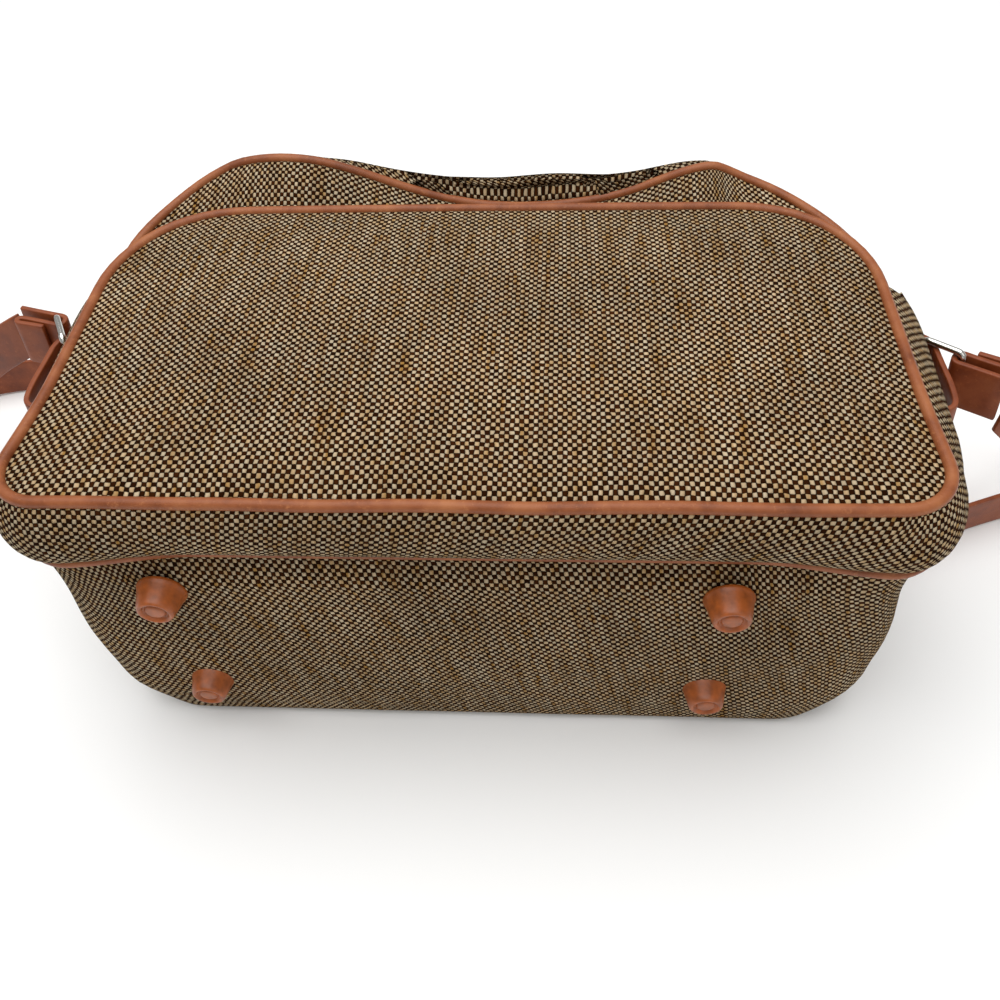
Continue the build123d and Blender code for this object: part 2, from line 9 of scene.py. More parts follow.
import bmesh
import bpy
from bpy.props import FloatProperty, FloatVectorProperty, PointerProperty
from mathutils import Matrix, Vector, noise


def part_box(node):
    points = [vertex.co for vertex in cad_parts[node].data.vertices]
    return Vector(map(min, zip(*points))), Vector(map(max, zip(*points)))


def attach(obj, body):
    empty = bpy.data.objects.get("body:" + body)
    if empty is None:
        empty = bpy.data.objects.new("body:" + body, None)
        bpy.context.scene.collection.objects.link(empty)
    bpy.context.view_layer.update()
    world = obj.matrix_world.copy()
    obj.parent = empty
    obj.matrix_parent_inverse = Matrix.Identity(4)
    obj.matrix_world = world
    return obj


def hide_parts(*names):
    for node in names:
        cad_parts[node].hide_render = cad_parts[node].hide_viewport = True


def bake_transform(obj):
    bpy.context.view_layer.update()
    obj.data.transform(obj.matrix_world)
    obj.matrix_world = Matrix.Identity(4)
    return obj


bl_info = {
    "name": "Tweed Camera Bag",
    "version": (1, 0, 0),
    "blender": (4, 5, 0),
    "location": "View3D > Sidebar > Camera Bag",
    "description": "Builds the cloth, leather and fittings of a soft camera bag round its CAD frame",
    "category": "Add Mesh",
}

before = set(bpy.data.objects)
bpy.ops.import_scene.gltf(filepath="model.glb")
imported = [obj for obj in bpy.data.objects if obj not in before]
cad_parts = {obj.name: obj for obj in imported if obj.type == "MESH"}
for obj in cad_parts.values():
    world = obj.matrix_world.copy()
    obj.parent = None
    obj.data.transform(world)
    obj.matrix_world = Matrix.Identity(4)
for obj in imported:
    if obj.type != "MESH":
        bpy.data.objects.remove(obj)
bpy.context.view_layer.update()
FRONT_LOW, FRONT_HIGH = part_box("front_panel")
BACK_LOW, BACK_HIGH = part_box("back_panel")
POCKET_LOW, POCKET_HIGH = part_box("pocket_panel")


def linear(code):
    """An sRGB hex colour as linear red, green and blue."""
    parts = [int(code[i:i + 2], 16) / 255.0 for i in (0, 2, 4)]
    return tuple(c / 12.92 if c <= 0.04045 else ((c + 0.055) / 1.055) ** 2.4 for c in parts)


def length_prop(name, text, value):
    """A length that the panel shows in metres."""
    return FloatProperty(name=name, description=text, default=value, min=0.0, unit="LENGTH", precision=4)


def colour_prop(name, text, code):
    """A colour that the panel shows as a swatch."""
    return FloatVectorProperty(
        name=name, description=text, default=linear(code), min=0.0, max=1.0, size=3, subtype="COLOR"
    )


class BagSizes(bpy.types.PropertyGroup):
    """Sizes of the bag's cloth and leather."""

    front_width: length_prop("Front width", "Across the front seam", FRONT_HIGH.x - FRONT_LOW.x)
    back_width: length_prop("Back width", "Across the back panel", BACK_HIGH.x - BACK_LOW.x)
    height: length_prop("Height", "From the feet face to the lid face", BACK_HIGH.y - BACK_LOW.y)
    seam_depth: length_prop("Seam depth", "Back panel to the front seam, at the feet end", 0.133)
    top_depth: length_prop("Top depth", "Back panel to the front seam, at the lid end", 0.160)
    front_low_r: length_prop("Front lower corner", "Corner radius of the front seam at the feet", 0.022)
    front_high_r: length_prop("Front upper corner", "Corner radius of the front seam at the lid", 0.050)
    back_low_r: length_prop("Back lower corner", "Corner radius of the back panel at the feet", 0.034)
    back_high_r: length_prop("Back upper corner", "Corner radius of the back panel at the lid", 0.050)
    pocket_width: length_prop("Pocket width", "Across the pocket's piping", 0.350)
    pocket_low_z: length_prop("Pocket bulk", "Height of the pocket's face at the feet", 0.171)
    pocket_lip: length_prop("Pocket lip", "Height of the pocket's lip", 0.1634)
    pocket_low_r: length_prop("Pocket lower corner", "Corner radius of the pocket at the feet", 0.021)
    pocket_high_r: length_prop("Pocket upper corner", "Corner radius of the pocket at its lip", 0.058)
    cloth: length_prop("Cloth", "Thickness of the backed tweed", 0.002)
    piping: length_prop("Piping", "Diameter of the leather piping", 0.005)
    yarn: length_prop("Yarn", "Width of one yarn in the weave", 0.00182)
    strap: length_prop("Strap", "Width of the shoulder strap", 0.025)
    leather: length_prop("Leather", "Thickness of the strap's folded leather", 0.0024)
    stitch: length_prop("Stitch", "Pitch of the stitching", 0.0042)


class BagColours(bpy.types.PropertyGroup):
    """Colours of the bag's cloth, leather and fittings."""

    light_yarn: colour_prop("Light yarn", "Oatmeal yarn of the tweed", "CAB99C")
    tan_yarn: colour_prop("Tan yarn", "Darker lengths of the oatmeal yarn", "8E6A36")
    dark_yarn: colour_prop("Dark yarn", "Brown yarn of the tweed", "261003")
    leather: colour_prop("Leather", "Face of the tan leather", "8E4F2B")
    leather_edge: colour_prop("Leather wear", "Rubbed and lit places of the leather", "A8693F")
    leather_deep: colour_prop("Leather creases", "Dark places of the leather", "6E3719")
    foot: colour_prop("Feet", "Moulded plastic feet", "9A4E1A")
    lining: colour_prop("Lining", "Lining cloth", "7A6046")
    divider: colour_prop("Dividers", "Looped pile on the dividers", "8C7558")
    thread: colour_prop("Thread", "Stitching thread", "A3693F")
    floor: colour_prop("Floor", "Studio floor", "F6F6F5")


# Rise of the front seam along its lid end, from the CAD's straight seam, against X.
SEAM_LIFT = (
    (-0.185, 0.0), (-0.160, 0.005), (-0.145, 0.011), (-0.130, 0.015), (-0.099, 0.016), (-0.079, 0.011),
    (-0.059, 0.003), (-0.039, -0.005), (-0.018, -0.011), (0.003, -0.014), (0.025, -0.014), (0.046, -0.012),
    (0.067, -0.008), (0.082, -0.002), (0.096, 0.005), (0.111, 0.009), (0.126, 0.008), (0.143, 0.003),
    (0.160, 0.0), (0.185, 0.0),
)
# Radius with which the walls turn in to the back panel.
TURN_IN = 0.007
# The opening in the top wall: half its width, and the heights that it lies between.
OPENING_HALF, OPENING_LOW, OPENING_HIGH = 0.120, 0.010, 0.1535
# The lid: half its width, its free edge, its hinge, the end of its crown, its upper edge and the crown's rise.
LID_HALF, LID_LOW, LID_HINGE, CROWN_END, LID_HIGH, LID_CROWN = 0.112, 0.018, 0.152, 0.1575, 0.1596, 0.0071
# The zip's line: half its width, its height at the free edge, and half the gap between its coils.
ZIP_HALF, ZIP_LOW, COIL_GAP = 0.116, 0.014, 0.0012
# The lining's opening: half its width, and the heights that it lies between.
LINING_HALF, LINING_LOW, LINING_HIGH = 0.106, 0.022, 0.138
# How the anchors' and the strap's leather is darker than the piping's, in red, green and blue.
SADDLE_SHADE = (0.80, 0.62, 0.52)
# A point inside the bag that the outer cloth faces away from.
INSIDE = Vector((0, 0, 0.08))
# Rise of the soft ridge over the lid's hinge, against X.
RIDGE_LIFT = (
    (-0.185, 0.0), (-0.150, 0.006), (-0.084, 0.014), (-0.048, 0.010), (-0.022, 0.009), (0.009, 0.008),
    (0.027, 0.011), (0.066, 0.009), (0.107, 0.012), (0.150, 0.004), (0.185, 0.0),
)


def ramp(value, low, high):
    """Smooth share of the way from low to high, from 0 to 1."""
    share = min(max((value - low) / (high - low), 0.0), 1.0)
    return share * share * (3.0 - 2.0 * share)


def along(table, x):
    """Value of a table of pairs at x, smooth between them."""
    if x <= table[0][0]:
        return table[0][1]
    for (x0, v0), (x1, v1) in zip(table, table[1:]):
        if x <= x1:
            share = (x - x0) / (x1 - x0)
            return v0 + (v1 - v0) * share
    return table[-1][1]


def smooth_along(table, x, reach=0.012):
    """A table's value at x, averaged over its neighbourhood."""
    steps = (-1.0, -0.5, 0.0, 0.5, 1.0)
    return sum(along(table, x + step * reach) for step in steps) / len(steps)


def front_ring(size):
    """The front seam's outline, laid flat."""
    return rounded_ring(size.front_width, size.height, size.front_low_r, size.front_high_r)


def back_ring(size, inset):
    """The back panel's outline, laid flat, at a distance inside its edge."""
    return rounded_ring(size.back_width - 2 * inset, size.height - 2 * inset, size.back_low_r - inset,
                        size.back_high_r - inset)


def front_z(size, y):
    """Height of the front seam's plane at y."""
    share = y / size.height + 0.5
    return size.seam_depth + (size.top_depth - size.seam_depth) * share


def seam_lift(size, x, y):
    """Rise of the front face near its lid end, at a point of it."""
    high_y = size.height / 2
    return smooth_along(SEAM_LIFT, x) * ramp(y, high_y - 0.046, high_y - 0.002)


def settle(size, point):
    """Where a point of the CAD's plain shell lies on the soft, sagging bag."""
    x, y, z = point
    moved = Vector(point)
    high_y = size.height / 2
    seam = front_z(size, y)
    at_seam = ramp(z, LID_HINGE, size.top_depth)
    at_ridge = ramp(z, LID_HINGE - 0.045, LID_HINGE) * (1.0 - at_seam)
    moved.z += seam_lift(size, x, y) * ramp(z, seam - 0.012, seam - 0.001)
    face = ramp(y, high_y - 0.006, high_y)
    ends = 1.0 - ramp(abs(x), 0.110, 0.170)
    moved.z += smooth_along(RIDGE_LIFT, x) * face * at_ridge
    moved.y += 0.008 * face * at_ridge * ends
    low_end = 1.0 - ramp(y, -high_y, -high_y + 0.030)
    under = ramp(z, 0.0, 0.030) * (1.0 - ramp(z, seam - 0.050, seam - 0.004))
    # The upper corners of the front seam lean in, the right one more.
    lean = 0.018 if x > 0 else -0.006
    moved.x -= lean * ramp(abs(x), 0.100, 0.150) * ramp(y, 0.035, high_y - 0.010) * ramp(z, 0.060, seam)
    # The walls stand out low down, most at the feet end.
    stout = ramp(z, -0.010, 0.030) * (1.0 - ramp(z, 0.050, seam - 0.008))
    feet_end = 1.0 - ramp(y, -0.060, 0.080)
    moved.x += (0.0135 if x > 0 else -0.0115) * ramp(abs(x), 0.110, 0.160) * stout * (0.3 + 0.7 * feet_end)
    moved.y -= 0.0030 * low_end * stout
    # The seam over the feet is drawn in under the pocket's roll.
    drawn = low_end * ramp(z, seam - 0.016, seam - 0.002) * (1.0 - ramp(abs(x), 0.110, 0.170))
    moved.y += 0.0066 * drawn
    # The base falls in below the front seam, and its cloth lies in shallow folds.
    fold = noise.noise(Vector((x * 19.0 + 3.1, z * 30.0, 4.7)))
    moved.y += (0.0016 * fold) * under * low_end
    # The sides bow gently between the corners.
    bow = (1.0 - (2.0 * y / size.height) ** 2) * under
    side = 1.0 if x > 0 else -1.0
    if abs(x) > 0.12:
        moved.x += side * ramp(abs(x), 0.12, 0.17) * (0.002 * bow)
        moved.x += side * 0.0012 * noise.noise(Vector((y * 28.0, z * 30.0, 9.2 * side))) * under
    return moved


def new_object(name, bm, material, body="bag", smooth=True):
    """Links a finished bmesh as an object that rides on a CAD body."""
    mesh = bpy.data.meshes.new(name)
    bm.to_mesh(mesh)
    bm.free()
    for face in mesh.polygons:
        face.use_smooth = smooth
    obj = bpy.data.objects.new(name, mesh)
    bpy.context.scene.collection.objects.link(obj)
    obj.data.materials.append(material)
    if body:
        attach(obj, body)
    return obj


def thin_sheet(name, bm, material, cad, thickness, body="bag", offset=-1.0, smooth=True):
    """Links a thin sheet that stands for a CAD node, with its thickness."""
    made = new_object(name, bm, material, body, smooth)
    add_modifier(made, "SOLIDIFY", thickness=thickness, offset=offset)
    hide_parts(cad)
    return made


def add_modifier(obj, kind, **settings):
    """Adds a modifier with its settings."""
    made = obj.modifiers.new(kind.title(), kind)
    for key, value in settings.items():
        setattr(made, key, value)
    return made


def apply_modifiers(obj):
    """Turns an object's modifiers into its own mesh."""
    bpy.context.view_layer.update()
    graph = bpy.context.evaluated_depsgraph_get()
    mesh = bpy.data.meshes.new_from_object(obj.evaluated_get(graph))
    obj.modifiers.clear()
    old = obj.data
    obj.data = mesh
    bpy.data.meshes.remove(old)
    return obj


def rounded_ring(width, length, low_r, high_r, step=0.006, segments=12):
    """Points of a rounded panel outline in order, in its own plane, with low_r at the feet end."""
    bm = bmesh.new()
    bmesh.ops.create_grid(bm, x_segments=1, y_segments=1, size=0.5)
    bmesh.ops.scale(bm, vec=(width, length, 1.0), verts=bm.verts)
    for radius, end in ((low_r, -1), (high_r, 1)):
        corners = [v for v in bm.verts if v.co.y * end > 0 and abs(abs(v.co.y) - length / 2) < 1e-6
                   and abs(abs(v.co.x) - width / 2) < 1e-6]
        bmesh.ops.bevel(
            bm, geom=corners, affect="VERTICES", offset=radius, offset_type="OFFSET", segments=segments,
            profile=0.5, material=-1, clamp_overlap=False,
        )
    for edge in [e for e in bm.edges if e.calc_length() > 2 * step]:
        bmesh.ops.subdivide_edges(bm, edges=[edge], cuts=round(edge.calc_length() / step) - 1)
    points = [v.co.copy() for v in bm.faces[:][0].verts]
    bm.free()
    return points


def skin(rows, closed=True):
    """A surface drawn by extruding the first row of points to each of the next, with a UV map in metres."""
    bm = bmesh.new()
    station = bm.verts.layers.int.new("station")
    level = bm.verts.layers.int.new("level")
    verts = []
    for i, point in enumerate(rows[0]):
        vert = bm.verts.new(point)
        vert[station] = i
        verts.append(vert)
    count = len(verts)
    edges = [bm.edges.new((verts[i], verts[(i + 1) % count])) for i in range(count if closed else count - 1)]
    for n, row in enumerate(rows[1:], 1):
        made = bmesh.ops.extrude_edge_only(bm, edges=edges)["geom"]
        for vert in (g for g in made if isinstance(g, bmesh.types.BMVert)):
            vert.co = row[vert[station]]
            vert[level] = n
        edges = [g for g in made if isinstance(g, bmesh.types.BMEdge)]
    middle = rows[len(rows) // 2]
    runs = [0.0]
    for i in range(count):
        runs.append(runs[-1] + (middle[(i + 1) % count] - middle[i]).length)
    rises = [[0.0] * count]
    for a, b in zip(rows, rows[1:]):
        rises.append([rise + (q - p).length for rise, p, q in zip(rises[-1], a, b)])
    uv = bm.loops.layers.uv.new("Cloth")
    for face in bm.faces:
        wraps = closed and {0, count - 1} <= {v[station] for v in face.verts}
        for loop in face.loops:
            i = loop.vert[station]
            loop[uv].uv = (runs[count] if wraps and i == 0 else runs[i], rises[loop.vert[level]][i])
    return bm


def face_outwards(bm, centre):
    """Turns every face of an open shell away from a point."""
    bm.normal_update()
    for face in bm.faces:
        if face.normal.dot(face.calc_center_median() - centre) < 0:
            face.normal_flip()
    return bm


def trim(bm, unwanted):
    """Deletes the faces whose middles pass a test."""
    bmesh.ops.delete(bm, geom=[f for f in bm.faces if unwanted(f.calc_center_median())], context="FACES")


def score(bm, half):
    """Cuts across a mesh on both sides of the middle, so that a window gets straight sides."""
    for x in (-half, half):
        bmesh.ops.bisect_plane(bm, geom=bm.verts[:] + bm.edges[:] + bm.faces[:], plane_co=(x, 0, 0),
                               plane_no=(1, 0, 0))


def panel(width, length, low_r, high_r, columns=84, rows=64):
    """A flat rounded panel of small squares, with a UV map in metres."""
    bm = bmesh.new()
    bmesh.ops.create_grid(bm, x_segments=columns, y_segments=rows, size=1.0)
    for vert in bm.verts:
        y = sin(vert.co.y * pi / 2) * length / 2
        radius = low_r if y < 0 else high_r
        over = max(abs(y) - (length / 2 - radius), 0.0)
        half = width / 2 - radius + sqrt(max(radius * radius - over * over, 0.0))
        vert.co = (vert.co.x * half, y, 0.0)
    uv = bm.loops.layers.uv.new("Cloth")
    for face in bm.faces:
        for loop in face.loops:
            loop[uv].uv = loop.vert.co.xy
    return bm


def curve_mesh(kind, points, cyclic=False, resolution=12, **settings):
    """The mesh of a curve drawn through points; the spline's order is set after its points."""
    curve = bpy.data.curves.new("route", "CURVE")
    curve.dimensions = "3D"
    for key, value in settings.items():
        setattr(curve, key, value)
    spline = curve.splines.new(kind)
    spline.points.add(len(points) - 1)
    for spot, point in zip(spline.points, points):
        spot.co = (*point, 1.0)
    spline.order_u = 3
    spline.use_endpoint_u = not cyclic
    spline.use_cyclic_u = cyclic
    spline.resolution_u = resolution
    obj = bpy.data.objects.new("route", curve)
    bpy.context.scene.collection.objects.link(obj)
    bpy.context.view_layer.update()
    mesh = bpy.data.meshes.new_from_object(obj)
    bpy.data.objects.remove(obj)
    bpy.data.curves.remove(curve)
    return mesh


def smooth_path(points):
    """Points of the smooth curve that a NURBS spline draws from a route."""
    mesh = curve_mesh("NURBS", points, resolution=5)
    path = [v.co.copy() for v in mesh.vertices]
    bpy.data.meshes.remove(mesh)
    return path


def tube(name, points, diameter, material):
    """A round closed tube along points, as a mesh."""
    mesh = curve_mesh("POLY", points, cyclic=True, bevel_depth=diameter / 2, bevel_resolution=3, use_fill_caps=True)
    bm = bmesh.new()
    bm.from_mesh(mesh)
    bpy.data.meshes.remove(mesh)
    bmesh.ops.remove_doubles(bm, verts=bm.verts, dist=1e-6)
    bmesh.ops.recalc_face_normals(bm, faces=bm.faces)
    return new_object(name, bm, material)


def node(tree, kind, inputs=(), **settings):
    """Adds a node with its settings, and fills its inputs or links other nodes to them."""
    made = tree.nodes.new("ShaderNode" + kind)
    for key, value in settings.items():
        setattr(made, key, value)
    for key, value in inputs.items() if isinstance(inputs, dict) else enumerate(inputs):
        if isinstance(value, bpy.types.Node):
            value = value.outputs[0]
        if isinstance(value, bpy.types.NodeSocket):
            tree.links.new(value, made.inputs[key])
        else:
            made.inputs[key].default_value = value
    return made


def new_material(name, **sockets):
    """A material with its shader's sockets set, and its tree and shader for the nodes that follow."""
    made = bpy.data.materials.new(name)
    made.use_nodes = True
    shader = made.node_tree.nodes["Principled BSDF"]
    for key, value in sockets.items():
        shader.inputs[key.replace("_", " ")].default_value = value
    return made, made.node_tree, shader


def dress(tree, shader, tint, height, strength, distance):
    """Gives a shader its colour, and bumps that rise by a distance in metres."""
    bump = node(tree, "Bump", {"Height": height, "Strength": strength, "Distance": distance})
    tree.links.new(tint, shader.inputs["Base Color"])
    tree.links.new(bump.outputs[0], shader.inputs["Normal"])


def finish(name, build, *args):
    """The named material, made the first time that it is asked for."""
    return bpy.data.materials.get(name) or build(name, *args)


def refinish(cad, material):
    """Gives a CAD node that stays in view its own material."""
    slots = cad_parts[cad].data.materials
    slots.clear()
    slots.append(material)


def tweed(name, size, colour):
    """Backed woollen tweed in a plain weave: an oatmeal and a brown yarn show in turn, rough and slubby."""
    made, tree, shader = new_material(name, Roughness=0.95, Specular_IOR_Level=0.03)
    where = node(tree, "UVMap", uv_map="Cloth")
    wander = node(tree, "TexNoise", {"Vector": where, "Scale": 210.0, "Detail": 2.0})
    drift = node(tree, "VectorMath", (wander.outputs["Color"], (0.5, 0.5, 0.5)), operation="SUBTRACT")
    drift = node(tree, "VectorMath", {0: drift, "Scale": 0.0016}, operation="SCALE")
    moved = node(tree, "VectorMath", (where, drift), operation="ADD")
    cells = node(tree, "VectorMath", {0: moved, "Scale": 1.0 / size.yarn}, operation="SCALE")
    axes = node(tree, "SeparateXYZ", (cells,))
    waves = [node(tree, "Math", (node(tree, "Math", (axis, pi), operation="MULTIPLY"),), operation="SINE")
             for axis in axes.outputs[:2]]
    # A brick of yarn is taller than it is wide.
    sides = [node(tree, "Math", (node(tree, "Math", (wave,), operation="ABSOLUTE"), power), operation="POWER")
             for wave, power in zip(waves, (1.3, 0.65))]
    tall = node(tree, "Math", sides, operation="MULTIPLY")
    turn = node(tree, "Math", (node(tree, "Math", waves, operation="MULTIPLY"),), operation="SIGN")
    wave = node(tree, "Math", (tall, turn), operation="MULTIPLY")
    brick = node(tree, "Math", (node(tree, "Math", (wave,), operation="ABSOLUTE"), 0.5), operation="POWER")
    light = node(tree, "MapRange", {"Value": wave, "From Min": -0.05, "From Max": 0.11},
                 interpolation_type="SMOOTHSTEP")
    # Each brick of yarn has its own tone.
    index = node(tree, "VectorMath", (cells,), operation="FLOOR")
    speck = node(tree, "TexWhiteNoise", {"Vector": index}, noise_dimensions="2D")
    # Thick and thin lengths run along both yarns, over 20 to 60 mm.
    slub_u, slub_v = (
        node(tree, "TexNoise", {"Vector": node(tree, "Mapping", {"Vector": where, "Scale": pull}), "Scale": 1.0,
                                "Detail": 1.0})
        for pull in ((26.0, 420.0, 1.0), (420.0, 26.0, 1.0))
    )
    patch = node(tree, "TexNoise", {"Vector": where, "Scale": 14.0, "Detail": 3.0})
    tone = node(tree, "Math", (speck, 0.45), operation="MULTIPLY")
    tone = node(tree, "Math", (slub_v, 1.1, tone), operation="MULTIPLY_ADD")
    tone = node(tree, "MapRange", {"Value": tone, "From Min": 0.42, "From Max": 1.22})
    # A mix node has its colour sockets at places 6 and 7, and its colour comes out at place 2.
    pale = node(tree, "Mix", {0: tone, 6: (*colour.light_yarn, 1.0), 7: (*colour.tan_yarn, 1.0)}, data_type="RGBA")
    brown = node(tree, "Mix", {0: node(tree, "Math", (slub_u, speck), operation="MULTIPLY"),
                               6: (*colour.dark_yarn, 1.0), 7: (*[c * 2.6 for c in colour.dark_yarn], 1.0)},
                 data_type="RGBA")
    yarns = node(tree, "Mix", {0: light, 6: brown.outputs[2], 7: pale.outputs[2]}, data_type="RGBA").outputs[2]
    gaps = node(tree, "MapRange", {"Value": brick, "From Min": 0.1, "From Max": 0.60, "To Min": 0.25, "To Max": 1.0})
    worn = node(tree, "MapRange", {"Value": patch, "From Min": 0.3, "From Max": 0.7, "To Min": 0.84, "To Max": 1.14})
    shade = node(tree, "Math", (node(tree, "Math", (gaps, worn), operation="MULTIPLY"),
                                node(tree, "Math", (speck, 0.42, 0.76), operation="MULTIPLY_ADD")),
                 operation="MULTIPLY")
    toned = node(tree, "VectorMath", {0: yarns, "Scale": shade}, operation="SCALE")
    fibre = node(tree, "TexNoise", {"Vector": where, "Scale": 1600.0, "Detail": 2.0})
    raised = node(tree, "Math", (brick, 0.8, node(tree, "Math", (fibre, 0.3), operation="MULTIPLY")),
                  operation="MULTIPLY_ADD")
    dress(tree, shader, toned.outputs[0], raised, 0.9, 0.0008)
    return made


def smooth_leather(name, colour, shade=(1.0, 1.0, 1.0)):
    """Vegetable-tanned cowhide with a waxed face: warm, half glossy, finely grained, paler where rubbed."""
    made, tree, shader = new_material(name, Roughness=0.45, Specular_IOR_Level=0.32)
    where = node(tree, "TexCoord").outputs["Object"]
    patch = node(tree, "TexNoise", {"Vector": where, "Scale": 55.0, "Detail": 5.0, "Roughness": 0.6})
    tint = node(tree, "ValToRGB", (patch,))
    deep, face, edge = (
        (*[c * part for c, part in zip(tone, shade)], 1.0)
        for tone in (colour.leather_deep, colour.leather, colour.leather_edge)
    )
    stops = tint.color_ramp.elements
    stops.new(0.50)
    for stop, place, tone in zip(stops, (0.30, 0.50, 0.78), (deep, face, edge)):
        stop.position, stop.color = place, tone
    rub = node(tree, "TexNoise", {"Vector": where, "Scale": 420.0, "Detail": 4.0, "Roughness": 0.7})
    rubbed = node(tree, "MapRange", {"Value": rub, "From Min": 0.58, "From Max": 0.75})
    shown = node(tree, "Mix", {0: rubbed, 6: tint, 7: edge}, data_type="RGBA")
    gloss = node(tree, "MapRange", {"Value": patch, "To Min": 0.34, "To Max": 0.58})
    tree.links.new(gloss.outputs[0], shader.inputs["Roughness"])
    # Grain cells are about 0.7 mm across.
    grain = node(tree, "TexVoronoi", {"Vector": where, "Scale": 1400.0}, feature="DISTANCE_TO_EDGE")
    crease = node(tree, "TexNoise", {"Vector": where, "Scale": 240.0, "Detail": 3.0})
    raised = node(tree, "Math", (grain.outputs["Distance"], 0.5,
                                 node(tree, "Math", (crease, 0.6), operation="MULTIPLY")), operation="MULTIPLY_ADD")
    dress(tree, shader, shown.outputs[2], raised, 0.35, 0.0004)
    return made


def moulded_plastic(name, colour):
    """Injection-moulded polypropylene feet: tan, waxy, with faint flow marks and scuffs."""
    made, tree, shader = new_material(name, Roughness=0.38)
    where = node(tree, "TexCoord").outputs["Object"]
    tint = node(tree, "ValToRGB", (node(tree, "TexNoise", {"Vector": where, "Scale": 260.0, "Detail": 4.0}),))
    for stop, place, part in zip(tint.color_ramp.elements, (0.32, 0.70), (0.72, 1.25)):
        stop.position, stop.color = place, (*[min(c * part, 1.0) for c in colour.foot], 1.0)
    scuff = node(tree, "TexNoise", {"Vector": where, "Scale": 900.0, "Detail": 3.0})
    dress(tree, shader, tint.outputs[0], scuff, 0.15, 0.0003)
    return made


def plain_cloth(name, tint, pitch):
    """Plain woven cotton: matt, with a fine regular thread."""
    made, tree, shader = new_material(name, Roughness=0.85, Sheen_Weight=0.15)
    where = node(tree, "TexCoord").outputs["Object"]
    x, y, z = (
        node(tree, "TexWave", {"Vector": where, "Scale": 0.314 / pitch, "Distortion": 0.6, "Detail": 1.0},
             wave_type="BANDS", bands_direction=axis).outputs["Fac"]
        for axis in ("X", "Y", "Z")
    )
    sums = node(tree, "Math", (node(tree, "Math", (x, y), operation="ADD"), z), operation="ADD")
    tone = node(tree, "MapRange", {"Value": sums, "From Max": 3.0, "To Min": 0.72, "To Max": 1.1})
    patch = node(tree, "TexNoise", {"Vector": where, "Scale": 30.0, "Detail": 3.0})
    shade = node(tree, "Math", (tone, node(tree, "Math", (patch, 0.5), operation="ADD")), operation="MULTIPLY")
    toned = node(tree, "VectorMath", {0: tint, "Scale": shade}, operation="SCALE")
    dress(tree, shader, toned.outputs[0], sums, 0.3, 0.0003)
    return made


def worked_metal(name, tint, roughness, grain):
    """Metal fittings: mirror or satin, with fine wear in the plating."""
    made, tree, shader = new_material(name, Metallic=1.0, Roughness=roughness)
    where = node(tree, "TexCoord").outputs["Object"]
    wear = node(tree, "TexNoise", {"Vector": where, "Scale": grain, "Detail": 5.0, "Roughness": 0.65})
    tone = node(tree, "MapRange", {"Value": wear, "To Min": 0.75, "To Max": 1.15})
    toned = node(tree, "VectorMath", {0: tint, "Scale": tone}, operation="SCALE")
    gloss = node(tree, "MapRange", {"Value": wear, "To Min": roughness * 0.7, "To Max": roughness * 1.6})
    tree.links.new(gloss.outputs[0], shader.inputs["Roughness"])
    dress(tree, shader, toned.outputs[0], wear, 0.08, 0.0002)
    return made


def open_foam(name, tint):
    """Open-cell polyurethane foam: pale, matt, full of small pores."""
    made, tree, shader = new_material(name, Roughness=0.95)
    where = node(tree, "TexCoord").outputs["Object"]
    pores = node(tree, "TexVoronoi", {"Vector": where, "Scale": 700.0})
    tone = node(tree, "MapRange", {"Value": pores, "To Min": 0.6, "To Max": 1.1})
    toned = node(tree, "VectorMath", {0: tint, "Scale": tone}, operation="SCALE")
    dress(tree, shader, toned.outputs[0], pores, 0.5, 0.0006)
    return made


def tuck(z):
    """How far the cloth turns in under the bag at a height, where it rests on the floor."""
    return TURN_IN - sqrt(max(TURN_IN ** 2 - (TURN_IN - z) ** 2, 0.0)) if z < TURN_IN else 0.0


def body_rings(size, levels=34):
    """Rings of the body's wall from the back panel to the front seam, on the settled bag."""
    front = front_ring(size)
    rows = []
    for n in range(levels + 1):
        share = (n / levels) ** 1.3
        back = back_ring(size, tuck(share * size.seam_depth))
        row = []
        for a, b in zip(back, front):
            top = Vector((b.x, b.y, front_z(size, b.y)))
            row.append(settle(size, Vector((a.x, a.y, 0.0)).lerp(top, share)))
        rows.append(row)
    return rows


class BAG_OT_body(bpy.types.Operator):
    """Makes the tweed walls and panels of the body"""

    bl_idname = "camera_bag.body"
    bl_label = "Body"

    def execute(self, context):
        size, colour = context.scene.bag_sizes, context.scene.bag_colours
        cloth = finish("woollen_tweed", tweed, size, colour)
        rows = body_rings(size)
        high = size.height / 2 - size.back_high_r
        bm = skin(rows)
        face_outwards(bm, INSIDE)
        trim(bm, lambda spot: spot.y > high)
        thin_sheet("body_wall", bm, cloth, "body_gusset", size.cloth)

        bm = skin(rows)
        face_outwards(bm, INSIDE)
        score(bm, OPENING_HALF)
        trim(bm, lambda spot: spot.y < high or abs(spot.x) < OPENING_HALF and spot.y > 0.1
             and OPENING_LOW < spot.z < OPENING_HIGH)
        thin_sheet("top_wall", bm, cloth, "top_gusset", size.cloth)

        bm = panel(size.front_width, size.height, size.front_low_r, size.front_high_r)
        for vert in bm.verts:
            vert.co = settle(size, (vert.co.x, vert.co.y, front_z(size, vert.co.y)))
        thin_sheet("front_cloth", bm, cloth, "front_panel", size.cloth)

        bm = panel(size.back_width - 2 * TURN_IN, size.height - 2 * TURN_IN, size.back_low_r - TURN_IN,
                   size.back_high_r - TURN_IN)
        bmesh.ops.reverse_faces(bm, faces=bm.faces)
        thin_sheet("back_cloth", bm, cloth, "back_panel", size.cloth)
        return {"FINISHED"}


